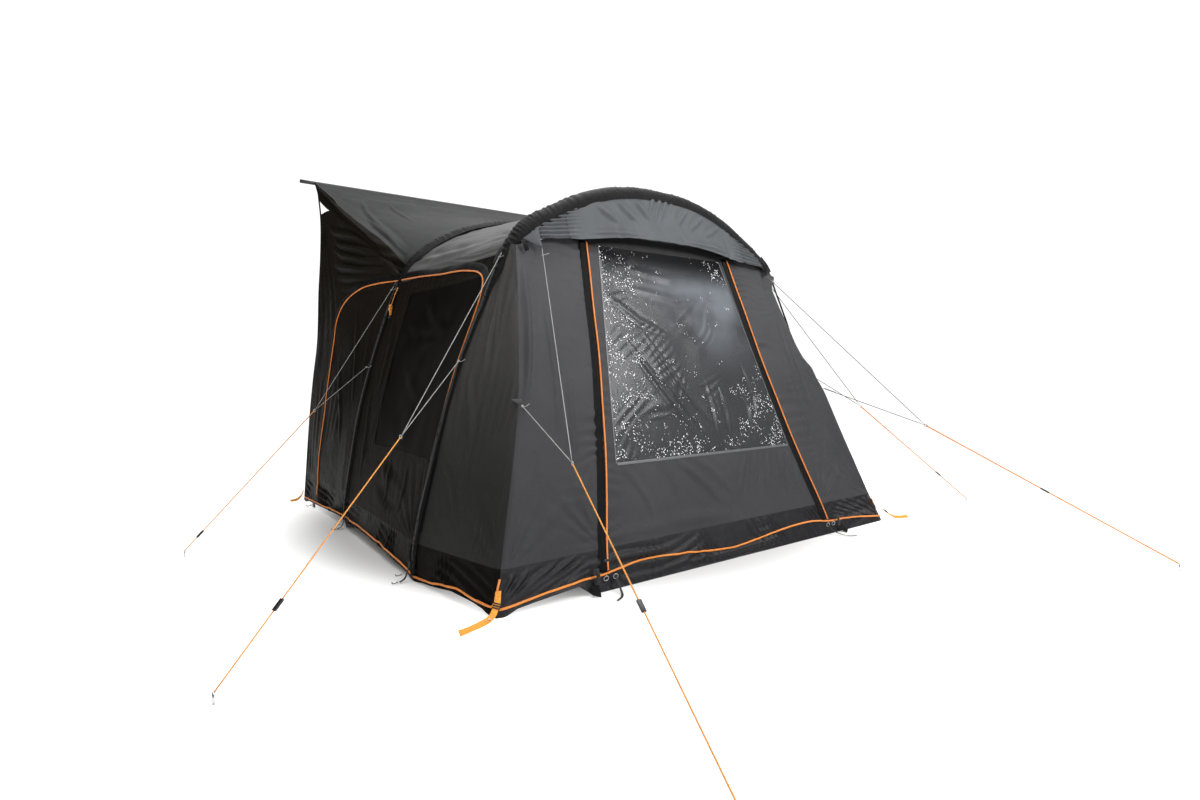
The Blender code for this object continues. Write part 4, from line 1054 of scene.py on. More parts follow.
# Tunnel side, with the folds that run from the middle arch's shoulder and from the bar.
def tunnel_folds(p, seed):
    c = side_coords(p)
    lift = soft_noise(c, 0.3, 0.005, seed)
    for height, width, path in (
            (0.026, 0.026, [(3.0, 2.16), (2.85, 2.07), (2.52, 1.99), (2.30, 1.90), (2.08, 1.76)]),
            (0.026, 0.024, [(2.92, 2.06), (2.74, 1.96), (2.50, 1.90), (2.28, 1.84), (2.06, 1.73)]),
            (0.024, 0.022, [(2.90, 1.96), (2.70, 1.88), (2.46, 1.82), (2.22, 1.78), (2.05, 1.70)]),
            (0.022, 0.024, [(2.88, 1.84), (2.66, 1.78), (2.40, 1.74), (2.18, 1.72), (2.05, 1.68)]),
            (0.016, 0.024, [(2.80, 1.72), (2.60, 1.70), (2.35, 1.68), (2.15, 1.66)]),
            (0.010, 0.022, [(2.70, 1.62), (2.45, 1.62), (2.15, 1.62)])):
        lift += crease(c, height, width, path, (0, 1))
    lift += fan(c, (3.05, 2.22), (-0.20, -1), 20, 5, 0.70, 0.022, seed + 1)
    lift += crease(c, 0.008, 0.020, [(2.40, 1.50), (2.25, 1.10), (2.16, 0.75)])
    lift += crease(c, 0.007, 0.020, [(2.20, 1.52), (2.12, 1.20), (2.08, 0.90)])
    lift += crease(c, 0.006, 0.020, [(2.56, 1.15), (2.36, 0.75), (2.28, 0.45)])
    lift += ripples(c, 0.09, 0.002, 84, seed + 5, 0.5)
    return lift


for tag, left in SIDES:
    seed = 100 if left else 140
    t, v = grid(190, 110)
    base = tunnel_surface(t, v)
    lift = tunnel_folds(base, seed) * edge_fade(t.shape, 0.025)
    cloth("tunnel_" + tag, "tunnel_side_" + tag, LOOK["tunnel"], base, lift,
          flip=left)


# Skirts: the black band at the foot and the mud flap below the orange hem.
SIDE_HEM = [(0.0, 0.030), (0.15, 0.045), (0.31, 0.052), (0.50, 0.030), (0.66, 0.022), (0.80, 0.038),
            (1.05, 0.052), (1.45, 0.063), (1.90, 0.066), (2.20, 0.062), (2.60, 0.045), (3.04, 0.030)]
FRONT_HEM = [(0.0, 0.052), (0.10, 0.058), (0.45, 0.088), (0.75, 0.089), (0.86, 0.074), (1.07, 0.066),
             (1.27, 0.048), (1.435, 0.030)]

def skirt_folds(c, seed, slant):
    lift = ripples(c, 0.040, 0.0045, slant, seed, 0.20, -0.2)
    lift += ripples(c, 0.050, 0.0050, 12, seed + 4, 0.30, -0.2)
    return lift + soft_noise(c, 0.12, 0.0025, seed + 9)


for tag, left in SIDES:
    seed = 200 if left else 230
    columns = []
    t1, v1 = grid(26, 60, -1, 0)
    t2, v2 = grid(26, 150, -1, 0)
    t3, v3 = grid(26, 110, -1, 0)
    base = np.concatenate([corner_surface(t1, v1), wall_surface(t2, v2)[:, 1:], tunnel_surface(t3, v3)[:, 1:]], 1)
    c = side_coords(base)
    height = base[..., 2]
    hem = np.interp(c[..., 0], *np.array(SIDE_HEM).T)
    free = np.interp(c[..., 0], [0.0, 0.08, 0.58, 0.66, 0.74, 1.88, 1.95, 2.02, 2.92, 3.0], [0, 1, 1, 0, 1, 1, 0, 1, 1, 0])
    base[..., 2] += free * (hem - 0.016) * np.clip(1 - height / 0.09, 0, 1)
    c, height = side_coords(base), base[..., 2]
    lift = skirt_folds(c, seed, 68) * ease(height / 0.05) * ease((SKIRT_TOP - height) / 0.03)
    lift = lift * edge_fade(lift.shape, 0.01, "lr")
    cloth("skirt_" + tag, "side_skirt_" + tag, LOOK["skirt_side"], base, lift,
          flip=left)


# Front: the two side panels, the door with its window, and the skirt.
def front_panel_folds(c, seed):
    q = np.stack([np.abs(c[..., 0]), c[..., 1]], -1)
    edge_x = DOOR.at(DOOR.where(2, c[..., 1]))[..., 0]
    near_zip = np.exp(-np.clip(q[..., 0] - edge_x - 0.03, 0, 1) / 0.10)
    lift = soft_noise(c, 0.3, 0.0035, seed)
    lift += ripples(c, 0.060, 0.0060, 5, seed + 1, 0.20, -0.25) * near_zip
    lift += crease(q, 0.010, 0.017, [(1.00, 1.60), (1.06, 1.20), (1.14, 0.85)])
    lift += crease(q, 0.007, 0.014, [(0.93, 1.45), (0.95, 1.00), (1.00, 0.60)])
    lift += crease(q, 0.007, 0.012, [(1.04, 1.35), (1.10, 1.05), (1.19, 0.72)])
    lift += crease(q, 0.006, 0.014, [(0.86, 1.05), (0.90, 0.75), (0.94, 0.50)])
    lift += fan(q, (1.38, 0.17), (-0.5, 0.7), 42, 4, 0.55, 0.010, seed + 3)
    lift += fan(q, (0.86, 0.17), (0.5, 0.8), 34, 4, 0.40, 0.009, seed + 4)
    return lift


for tag, left in SIDES:
    seed = 300 if left else 330
    t, v = grid(190, 70)
    base = front_side_surface(t, v)
    if not left:
        base = drawn_in(base, CORNER.at(level(CORNER, t)))
    lift = front_panel_folds(front_coords(base), seed) * edge_fade(t.shape, 0.03)
    cloth("front_" + tag, "front_panel_" + tag, LOOK["front"], base, lift,
          flip=left)

PANE_Z = (0.55, 1.722)
t_low, t_high = ((z - SKIRT_TOP) / (1.80 - SKIRT_TOP) for z in PANE_Z)


def door_grid():
    t, c = grid(161, 161)
    t = np.interp(t, [0, 36 / 160, 150 / 160, 1], [0, t_low, t_high, 1])
    z = door_z(t)
    edge = door_edge_point(t)[..., 0]
    pane = (0.68 - 0.168 * (z - PANE_Z[0])) / edge
    k = c * 160
    v = np.where(k < 20, -1 + (1 - pane) * k / 20,
                 np.where(k > 140, pane + (1 - pane) * (k - 140) / 20, -pane + 2 * pane * (k - 20) / 120))
    return t, v


def door_folds(c, seed):
    lift = soft_noise(c, 0.25, 0.003, seed)
    for height, width, path in (
            (0.008, 0.022, [(-0.25, 0.53), (-0.12, 0.42), (0.02, 0.27)]),
            (0.006, 0.020, [(-0.10, 0.53), (0.02, 0.42), (0.12, 0.30)]),
            (0.006, 0.018, [(-0.62, 0.52), (-0.52, 0.36), (-0.50, 0.24)]),
            (-0.005, 0.020, [(-0.40, 0.52), (-0.34, 0.38), (-0.36, 0.25)]),
            (0.010, 0.012, [(0.36, 0.52), (0.30, 0.38), (0.26, 0.26)]),
            (0.009, 0.012, [(0.48, 0.52), (0.43, 0.38), (0.40, 0.24)]),
            (0.009, 0.011, [(0.27, 0.52), (0.20, 0.40), (0.14, 0.30)]),
            (0.010, 0.012, [(0.60, 0.52), (0.57, 0.38), (0.56, 0.23)]),
            (0.008, 0.011, [(0.67, 0.50), (0.66, 0.38), (0.68, 0.24)]),
            (0.005, 0.030, [(-0.78, 0.22), (-0.30, 0.24), (0.20, 0.21)])):
        lift += crease(c, height, width, path, (1, 0))
    edge_x = DOOR.at(DOOR.where(2, c[..., 1]))[..., 0]
    near_zip = np.exp(-np.clip(edge_x - np.abs(c[..., 0]), 0, 1) / 0.07)
    lift += ripples(c, 0.06, 0.0035, 3, seed + 1, 0.2, -0.2) * near_zip
    return lift


def pane_folds(c, seed):
    lift = soft_noise(c, 0.22, 0.0022, seed)
    for height, width, path in (
            (0.0055, 0.015, [(-0.45, 1.22), (-0.25, 0.92), (-0.05, 0.60)]),
            (0.0050, 0.013, [(-0.33, 1.28), (-0.12, 0.95), (0.10, 0.64)]),
            (0.0040, 0.012, [(-0.28, 1.05), (-0.12, 0.82), (0.02, 0.60)]),
            (0.0040, 0.013, [(0.10, 0.98), (0.12, 0.80), (0.10, 0.62)]),
            (0.0040, 0.012, [(0.20, 0.95), (0.22, 0.78), (0.21, 0.62)]),
            (0.0045, 0.013, [(0.44, 1.10), (0.50, 0.86), (0.46, 0.66)]),
            (0.0040, 0.012, [(0.36, 0.98), (0.42, 0.80), (0.40, 0.64)]),
            (0.0035, 0.020, [(-0.40, 1.62), (0.0, 1.56), (0.40, 1.60)]),
            (0.0035, 0.020, [(-0.40, 1.50), (0.0, 1.44), (0.42, 1.50)]),
            (0.0040, 0.016, [(-0.52, 1.45), (-0.30, 1.30), (-0.10, 1.22)])):
        lift += crease(c, height, width, path)
    return lift + ripples(c, 0.045, 0.0009, 32, seed + 3, 0.2, 0.0)


t, v = door_grid()
base = door_surface(t, v)
keep = np.ones((160, 160), bool)
keep[36:150, 20:140] = False
lift = door_folds(front_coords(base), 400) * edge_fade(t.shape, 0.02)
rr, cc = np.arange(161), np.arange(161)
out_r = np.clip(np.maximum(36 - rr, rr - 150) / 6, 0, 1)[:, None]
out_c = np.clip(np.maximum(20 - cc, cc - 140) / 5, 0, 1)[None, :]
lift = lift * ease(np.maximum(out_r, out_c))
cloth("door", "front_door", LOOK["front"], base, lift,
      keep=keep)
t, v = grid(230, 230, 0, 1, -1, 1)
z = mix(PANE_Z[0], PANE_Z[1], t)
pane = np.stack([(0.68 - 0.168 * (z - PANE_Z[0])) * v, FRONT_LEAN * z - 0.014, z], -1)
lift = pane_folds(front_coords(pane), 430) * edge_fade(t.shape, 0.03) - 0.001
cloth("window_front", "front_window", LOOK["film"], pane, lift)

t1, v1 = grid(26, 90, -1, 0)
t2, v2 = grid(26, 220, -1, 0, -1, 1)
half = front_side_surface(t1, v1)
base = np.concatenate([flipped(half[:, ::-1]), door_surface(t2, v2)[:, 1:], half[:, 1:]], 1)
c = front_coords(base)
height = base[..., 2]
hem = np.interp(np.abs(c[..., 0]), *np.array(FRONT_HEM).T)
free = np.interp(-c[..., 0], [0.0, 0.97, 1.04, 1.36, 1.42], [0, 0, 1, 1, 0])
base[..., 2] += free * (hem - 0.016) * np.clip(1 - height / 0.09, 0, 1)
c, height = front_coords(base), base[..., 2]
lift = skirt_folds(c, 260, 118) * ease(height / 0.05) * ease((SKIRT_TOP - height) / 0.03)
lift *= 1 - 0.75 * ease((np.abs(c[..., 0]) - 0.88) / 0.08)
q = np.stack([np.abs(c[..., 0]), c[..., 1]], -1)
for height_of, wide, path in (
        (0.014, 0.010, [(1.43, 0.060), (1.385, 0.110), (1.34, 0.165)]),
        (0.015, 0.010, [(1.43, 0.045), (1.34, 0.105), (1.26, 0.165)]),
        (0.016, 0.011, [(1.42, 0.040), (1.26, 0.105), (1.10, 0.175)]),
        (0.016, 0.010, [(1.36, 0.050), (1.18, 0.110), (0.97, 0.190)]),
        (0.015, 0.010, [(1.30, 0.052), (1.13, 0.100), (0.95, 0.160)]),
        (0.012, 0.009, [(1.20, 0.058), (1.08, 0.092), (0.93, 0.132)]),
        (0.010, 0.008, [(1.12, 0.066), (1.02, 0.088), (0.92, 0.108)])):
    lift += crease(q, height_of, wide, path)
lift += crease(c, 0.010, 0.014, [(-1.10, 0.12), (-0.80, 0.13), (-0.40, 0.12)])
lift += crease(c, 0.010, 0.012, [(-0.60, 0.045), (-0.10, 0.035), (0.50, 0.05)])
lift = lift * edge_fade(lift.shape, 0.01, "lr")
cloth("skirt_front", "front_skirt", LOOK["skirt"], base, lift)

# Header curtain under the front arch.
w, s = grid(46, 260, 0, 1, -1, 1)
base = header_surface(w, s)
c = front_coords(base)
q = np.stack([np.abs(c[..., 0]), c[..., 1]], -1)
lift = soft_noise(c, 0.2, 0.004, 500)
ends = ease((q[..., 0] - 0.58) / 0.15)
tilted = np.stack([q[..., 0], q[..., 1] + 0.16 * q[..., 0]], -1)
lift += ripples(tilted, 0.020, 0.0062, 3, 501, 0.24, -0.7) * ends * ease((0.95 - q[..., 0]) / 0.10 + 0.4)
lift += ripples(c, 0.055, 0.0055, 64, 503, 0.30, 0.0) * (1 - ends) * ease(w * 1.6 - 0.35)
lift += ripples(c, 0.10, 0.004, 100, 505, 0.3, 0.0) * (1 - w)
for start, end in (((0.50, 1.95), (0.34, 1.86)), ((0.36, 2.00), (0.20, 1.88)), ((0.22, 2.03), (0.10, 1.90))):
    lift += crease(q, 0.010, 0.014, [start, ((start[0] + end[0]) / 2, (start[1] + end[1]) / 2), end])
lift += crease(q, 0.007, 0.008, [(0.60, 1.772), (0.40, 1.800), (0.15, 1.812)])
lift *= edge_fade(w.shape, 0.08, "t") * edge_fade(w.shape, 0.02, "lr")
lift = lift + 0.010 * (1 - w) ** 2
cloth("header", "front_header", LOOK["header"], base, lift)

# Roof between the arches.
v, s = grid(130, 220, 0, 1, -1, 1)
base = roof_surface(v, s)
base = base[::-1]
base = base[::-1]
c = plan_coords(base)
q = np.stack([np.abs(c[..., 0]), c[..., 1]], -1)
lift = soft_noise(c, 0.35, 0.006, 600)
lift += crease(q, 0.010, 0.028, [(1.00, 1.95), (1.04, 1.60), (1.02, 1.25), (0.97, 0.95)])
lift += crease(q, -0.007, 0.025, [(0.95, 1.95), (0.98, 1.55), (0.95, 1.15)])
lift += ripples(c, 0.12, 0.003, 85, 603, 0.5)
lift += fan(q, (1.06, 2.0), (-0.6, -1), 40, 4, 0.6, 0.007, 606)
lift += fan(q, (0.98, 0.70), (-0.5, 1), 40, 4, 0.5, 0.006, 608)
lift *= edge_fade(v.shape, 0.03)
cloth("roof", "roof_panel", LOOK["roof"], base, lift)

# Tunnel cowl up to the bar, the dark gore below it and the folded strip at each end of the bar.
def cowl_folds(c, seed):
    q = np.stack([np.abs(c[..., 0]), c[..., 1]], -1)
    lift = soft_noise(c, 0.4, 0.007, seed)
    lift += crease(q, 0.009, 0.020, [(1.12, 2.95), (1.11, 2.57), (1.07, 2.36), (1.00, 2.10)])
    lift += crease(q, 0.008, 0.016, [(1.16, 2.65), (1.11, 2.42), (1.06, 2.22), (1.01, 2.10)])
    lift += crease(q, 0.007, 0.018, [(0.91, 2.87), (0.88, 2.70), (0.84, 2.50)])
    lift += ripples(c, 0.10, 0.0028, 62, seed + 9, 0.45, 0.2)
    return lift + fan(q, (1.40, 3.05), (-1, -0.8), 30, 3, 0.7, 0.004, seed + 6)


v, c01 = grid(150, 260, 0, 1, -1, 1)
split = gore_start(np.linspace(0, 1, 150))
base = cowl_surface(v, c01 * split[:, None])
lift = cowl_folds(plan_coords(base), 700) * edge_fade(v.shape, 0.02)
cloth("cowl", "tunnel_cowl", LOOK["cowl"], base, lift)
for tag, left in SIDES:
    v, k = grid(150, 26)
    base = cowl_surface(v, mix(split[:, None], 1.0, k))
    c = side_coords(base)
    lift = soft_noise(c, 0.2, 0.004, 730) + ripples(c, 0.07, 0.006, 28, 731, 0.4, -0.4)
    lift += crease(c, 0.010, 0.016, [(2.95, 2.33), (2.60, 2.10), (2.30, 1.92), (2.08, 1.74)], (1, 1))
    lift *= edge_fade(v.shape, 0.08, "lr") * edge_fade(v.shape, 0.02, "bt")
    cloth("cowl_gore_" + tag, None, LOOK["side"], base, lift,
          flip=left)
    v, k = grid(100, 14)
    upper = cowl_surface(v[:, :1] * 1.0, np.ones_like(v[:, :1]))
    base = mix(cowl_edge(v), upper, k[..., None])
    lift = (0.010 * np.sin(np.pi * k) * (0.4 + v) - 0.016 * np.sin(2 * np.pi * k) * v) * ease(v / 0.1)
    lift = lift + ripples(np.stack([k * 0.1, v], -1), 0.05, 0.003, 80, 720, 0.2)
    lift *= edge_fade(v.shape, 0.05)
    cloth("cowl_fold_" + tag, None, LOOK["side"], base[:, ::-1], lift,
          flip=left)


# Arch sleeves: the black bands gathered round the beams, and the beams under them.
def sleeve_mesh(name, node_name, leg, roof, y, front_angle, rear_angle, seed, low, front_width, rise=0.0):
    """Gathered band over an arch; past the shoulders it narrows and runs on down the legs to the height low."""
    down = Curve(leg, y).at(np.linspace(0, 1, 400))
    down = down[down[:, 2] > low]
    half = np.concatenate([down, Curve(roof, y).at(np.linspace(0.004, 1, 500))])
    half[-1, 0] = 0.0
    whole = np.concatenate([flipped(half), half[::-1][1:]])
    length = np.concatenate([[0], np.cumsum(np.linalg.norm(np.diff(whole, axis=0), axis=1))])
    count, turns = 900, 34
    s = np.linspace(0, length[-1], count)
    outer = np.stack([np.interp(s, length, whole[:, k]) for k in range(3)], -1)
    along = unit(np.gradient(outer, axis=0))
    up = np.stack([-along[:, 2], 0 * s, along[:, 0]], -1)
    a, side = np.meshgrid(s, np.linspace(-1, 1, turns), indexing="ij")
    c = np.stack([a, side * 0.06], -1)
    gather = ripples(c, 0.041, 0.0020, 100, seed, 0.11, -0.5) + ripples(c, 0.026, 0.0018, 78, seed + 2, 0.08, -0.2)
    gather += ripples(c, 0.017, 0.0011, 92, seed + 3, 0.06, -0.1) + soft_noise(c, 0.05, 0.0012, seed + 5)
    gather *= 0.40 + 0.60 * np.cos(side * np.pi / 2) ** 2
    z = outer[:, 2:3]
    leg_share = ease((1.76 - z) / 0.30)
    wide = mix(0.046, 0.019, ease((1.66 - z) / 0.40))
    turn = np.clip(side / 0.74, -1, 1)
    b = np.where(turn < 0, turn * front_angle, turn * rear_angle)
    flap = np.clip((np.abs(side) - 0.74) / 0.26, 0, 1)
    front_flap = np.where(side < 0, flap, 0) * front_width
    rear_flap = np.where(side > 0, flap, 0) * 0.020
    hanging = front_angle > 1.3
    arc_y = SLEEVE_R * np.sin(b) + rear_flap - front_flap * (0.14 if hanging else 1.0)
    arc_up = SLEEVE_R * (np.cos(b) - 1) + 0.002 + rise * np.cos(side * np.pi / 2) - (front_flap * 0.99 if hanging else 0) + 0.003 * (flap > 0)
    off_y = mix(arc_y, wide * side, leg_share)
    off_up = mix(arc_up, 0.004 + 0.012 * np.cos(side * np.pi / 2), leg_share)
    off_up = off_up + gather * mix(1.0, 0.8, leg_share)
    p = outer[:, None] + up[:, None] * off_up[..., None] + np.array([0, 1.0, 0]) * off_y[..., None]
    uv = np.stack([side * SLEEVE_R, a], -1).reshape(-1, 2)
    k = np.arange(count * turns).reshape(count, turns)
    faces = np.stack([k[:-1, :-1], k[1:, :-1], k[1:, 1:], k[:-1, 1:]], -1).reshape(-1, 4).tolist()
    obj = mesh_object(name, p.reshape(-1, 3), faces, LOOK["sleeve"], uv=uv)
    part(obj, "sleeve_cloth", node_name)
    return obj


sleeve_mesh("sleeve_front", "front_arch_sleeve", FRONT_LEG, FRONT_ROOF, ARCH_Y, FRONT_ANGLE, REAR_ANGLE, 800, 0.03, 0.020, 0.012)
sleeve_mesh("sleeve_middle", "middle_arch_sleeve", MID_LEG, MID_ROOF, MID_Y, REAR_ANGLE, REAR_ANGLE, 830, 0.04, 0.050, 0.012)


def beam_mesh(name, node_name, leg, roof, y):
    half = np.concatenate([Curve(leg, y).at(np.linspace(0, 1, 60)), Curve(roof, y).at(np.linspace(0.03, 1, 60))])
    along = unit(np.gradient(half, axis=0))
    inner = half + np.stack([-along[:, 2], 0 * along[:, 0], along[:, 0]], -1) * (SLEEVE_R + 0.003)
    inner[-1, 0] = 0.0
    inner[0, 2] = 0.010
    whole = np.concatenate([flipped(inner), inner[::-1][1:]])
    for _ in range(4):
        whole[1:-1] = (whole[:-2] + whole[1:-1] * 2 + whole[2:]) / 4
    obj = tube(name, LOOK["beam"], whole, BEAM_R - 0.001, 24)
    return part(obj, "beam_film", node_name)


beam_mesh("beam_front", "front_arch_beam", FRONT_LEG, FRONT_ROOF, ARCH_Y)
beam_mesh("beam_middle", "middle_arch_beam", MID_LEG, MID_ROOF, MID_Y)

# Bar at the vehicle.
bar = tube("bar", LOOK["bar"], [(x, BAR_Y, BAR_Z) for x in np.linspace(-BAR_HALF, BAR_HALF, 40)], 0.0138, 16)
part(bar, "bar_plastic", "awning_rail_bar")

# Trims on the finished sheets.
SIDE_SKIN = {tag: Skin(["corner_" + tag, "wall_" + tag, "wall_top_" + tag, "window_side_" + tag, "tunnel_" + tag, "skirt_" + tag])
             for tag, _ in SIDES}
FRONT_SKIN = Skin(["door", "window_front", "front_left", "front_right", "skirt_front"])
SIGN = {"left": -1, "right": 1}

SIDE_ZIP = [(2.69, 0.10), (2.70, 0.38), (2.685, 0.69), (2.675, 0.95), (2.67, 1.21), (2.655, 1.37), (2.60, 1.475),
            (2.51, 1.545), (2.37, 1.60), (2.22, 1.62), (2.00, 1.628), (1.85, 1.625), (1.40, 1.60), (0.97, 1.572),
            (0.87, 1.552), (0.79, 1.51), (0.748, 1.45), (0.730, 1.38), (0.720, 1.28), (0.712, 1.10), (0.706, 0.90),
            (0.696, 0.66), (0.690, 0.24)]


def side_line(tag, control, lift, spacing=0.012):
    path, ups = [], []
    for p in line_points([(y, z, 0) for y, z in control], spacing):
        hit, normal = SIDE_SKIN[tag].side(p.x, p.y, SIGN[tag], lift)
        path.append(hit)
        ups.append(normal)
    return path, ups


def evened(path, ups, turns=3):
    """Takes out small steps of a line that was laid on folds."""
    for _ in range(turns):
        path = [path[0]] + [(a + b * 2 + c) / 4 for a, b, c in zip(path, path[1:], path[2:])] + [path[-1]]
        ups = [ups[0]] + [(a + b * 2 + c).normalized() for a, b, c in zip(ups, ups[1:], ups[2:])] + [ups[-1]]
    return path, ups


for tag, left in SIDES:
    path, ups = evened(*side_line(tag, SIDE_HEM, 0.003))
    part(tube("hem_" + tag, LOOK["hem"], path, 0.0052, 8, 0.75, ups), "orange_trim", "side_hem_piping_" + tag)
    path, ups = evened(*side_line(tag, SIDE_ZIP, 0.0045), turns=6)
    radii = [0.0050 if p.y > 1.2 else 0.0024 + 0.0024 * float(ease((p.z - 1.05) / 0.35)) for p in path]
    part(tube("side_zip_" + tag, LOOK["zip"], path, radii, 8, 0.7, ups), "orange_trim", "side_door_zip_" + tag)
    outer = []
    flat_ups = []
    middle = Vector((1.6, 0, 0.7))
    line = line_points([(y, z, 0) for y, z in SIDE_ZIP], 0.015)
    for i, p in enumerate(line):
        d = line[min(i + 1, len(line) - 1)] - line[max(i - 1, 0)]
        n = Vector((d.y, -d.x, 0)).normalized()
        if n.dot(Vector((p.x - 1.7, p.y - 0.75, 0))) < 0:
            n.negate()
        hit, normal = SIDE_SKIN[tag].side(max(0.1, p.x + n.x * 0.026), p.y + n.y * 0.026, SIGN[tag], 0.0012)
        outer.append(hit)
        flat_ups.append(normal)
    outer, flat_ups = evened(outer, flat_ups, 5)
    part(ribbon("side_flap_" + tag, LOOK["flap"], outer, flat_ups, 0.050, 0.0016, 0.003), "black_webbing")

path, ups = [], []
half = line_points([(x, z, 0) for x, z in FRONT_HEM], 0.012)
for p in [Vector((-p.x, p.y, 0)) for p in reversed(half[1:])] + half:
    hit, normal = FRONT_SKIN.front(p.x, p.y, 0.003)
    path.append(hit)
    ups.append(normal)
path, ups = evened(path, ups)
part(tube("hem_front", LOOK["hem"], path, 0.0052, 8, 0.75, ups), "orange_trim", "front_hem_piping")

for tag, left in SIDES:
    sign = SIGN[tag]
    path, ups, flap, flap_ups = [], [], [], []
    lean = Vector((0, -1, FRONT_LEAN)).normalized()
    for z in np.linspace(0.085, 1.735, 140):
        x = float(DOOR.at(DOOR.where(2, z))[0]) * sign
        path.append(Vector((x, FRONT_LEAN * z - 0.014, z)) + lean * 0.006)
        ups.append(lean)
        hit, normal = FRONT_SKIN.front(x - 0.029, z, 0.0012)
        flap.append(hit)
        flap_ups.append(normal)
    path, ups = evened(path, ups, 6)
    part(tube("door_zip_" + tag, LOOK["zip"], path, 0.0050, 8, 0.75, ups), "orange_trim", "front_door_zip_" + tag)
    flap, flap_ups = evened(flap, flap_ups, 6)
    part(ribbon("door_flap_" + tag, LOOK["flap"], flap, flap_ups, 0.046, 0.0016, 0.005), "black_webbing")


def leg_strap(name, node_name, tag, profile, y, low, high):
    curve = Curve(profile, y)
    path, ups = [], []
    for z in np.linspace(low, high, 120):
        p = curve.at(curve.where(2, z))
        hit, normal = SIDE_SKIN[tag].side(float(p[1]), float(z), SIGN[tag], 0.014)
        path.append(hit)
        ups.append(normal)
    path, ups = evened(path, ups, 5)
    part(ribbon(name, LOOK["web"], path, ups, 0.020, 0.0022, 0.001), "black_webbing", node_name)


for tag, left in SIDES:
    leg_strap("front_strap_" + tag, "front_leg_strap_" + tag, tag, FRONT_LEG, ARCH_Y, 0.016, 1.60)
    leg_strap("middle_strap_" + tag, "middle_leg_strap_" + tag, tag, MID_LEG, MID_Y, 0.03, 1.60)
    points = [(1.398, 2.444), (1.389, 2.345), (1.380, 2.235), (1.385, 1.92), (1.403, 1.65), (1.426, 1.21),
              (1.459, 0.96), (1.49, 0.68), (1.532, 0.18), (1.546, 0.006)]
    path = line_points([(SIGN[tag] * (x - 0.004), REAR_Y + 0.0068, z) for x, z in points], 0.03)
    part(tube("rear_edge_" + tag, LOOK["web"], path, 0.0058, 8), "black_webbing", "rear_edge_cord_" + tag)

# Shoulder gussets and corner pegging straps.
for tag, left in SIDES:
    sign = SIGN[tag]
    a, b, tip = (Vector((x * sign, y, z)) for x, y, z in ((0.985, 0.574, 1.70), (0.90, 0.560, 1.765), (0.89, 0.538, 1.66)))
    rows = []
    for i in range(13):
        f = i / 12
        rows.append([a.lerp(tip, f).lerp(b.lerp(tip, f), j / 12) for j in range(13)])
    base = np.array([[tuple(p) for p in row] for row in rows])
    obj_faces = [q for i in range(12) for j in range(12) for q in [(i * 13 + j, i * 13 + j + 1, (i + 1) * 13 + j + 1, (i + 1) * 13 + j)]]
    verts = base.reshape(-1, 3).copy()
    verts[:, 1] -= 0.004 * np.sin(np.pi * np.tile(np.linspace(0, 1, 13), 13))
    uv = verts[:, [0, 2]]
    # Painted shade: the right gusset takes the black flap cloth instead of the header cloth, standing for the shade
    # between sleeve and panel.
    obj = mesh_object("gusset_" + tag, verts, obj_faces, LOOK["header" if left else "flap"], uv=uv)
    thick = obj.modifiers.new("thick", "SOLIDIFY")
    thick.thickness = 0.002
    part(obj, "header_cloth", "shoulder_gusset_" + tag)
    points = ((1.4254, 0.0261, 0.10), (1.460, -0.024, 0.062), (1.50, -0.052, 0.030), (1.56, -0.062, 0.016),
              (1.60, -0.070, 0.013), (1.65, -0.080, 0.012))
    ups = ((0.9, -0.9, 0.3), (0.6, -0.9, 0.4), (0.2, -0.8, 0.7), (0.0, -0.7, 0.8), (0.1, -0.6, 0.9), (0.0, -0.8, 0.7))
    path = line_points([(x * sign, y, z) for x, y, z in points], 0.006)
    ups = [Vector((x * sign, y, z)) for x, y, z in ups]
    up_line = [smooth(ups, i / (len(path) - 1)) for i in range(len(path))]
    part(ribbon("corner_strap_" + tag, LOOK["orange"], path, up_line, 0.026, 0.0024), "orange_trim", "corner_strap_" + tag)
    at = len(path) // 4
    along = (path[at + 1] - path[at]).normalized()
    across_strap = along.cross(up_line[at]).normalized()
    for k in (-1, 0, 1):
        bar = path[at] + along * 0.011 * k + up_line[at].normalized() * 0.0045
        part(tube(f"corner_buckle_{tag}_{k + 1}", LOOK["dark_plastic"],
                  [bar - across_strap * 0.017, bar, bar + across_strap * 0.017], 0.0028, 8), "bar_plastic")
    at = len(path) // 2
    part(torus("corner_ring_" + tag, LOOK["steel"], path[at] + Vector((0, -0.004, -0.003)), (0, 1, 0.4), 0.011, 0.0016),
         "bar_plastic")

# Guy sets.
def strap_point(profile, y, z, lift, sign):
    curve = Curve(profile, y)
    u = float(curve.where(2, z))
    p = Vector(curve.at(u))
    along = (Vector(curve.at(min(1.0, u + 0.01))) - p).normalized()
    p += Vector((along.z, 0, -along.x)) * lift
    return Vector((p.x * sign, p.y, p.z))


def straight(a, b, spacing=0.05):
    a, b = Vector(a), Vector(b)
    count = max(2, round((b - a).length / spacing))
    return [a.lerp(b, i / count) for i in range(count + 1)]


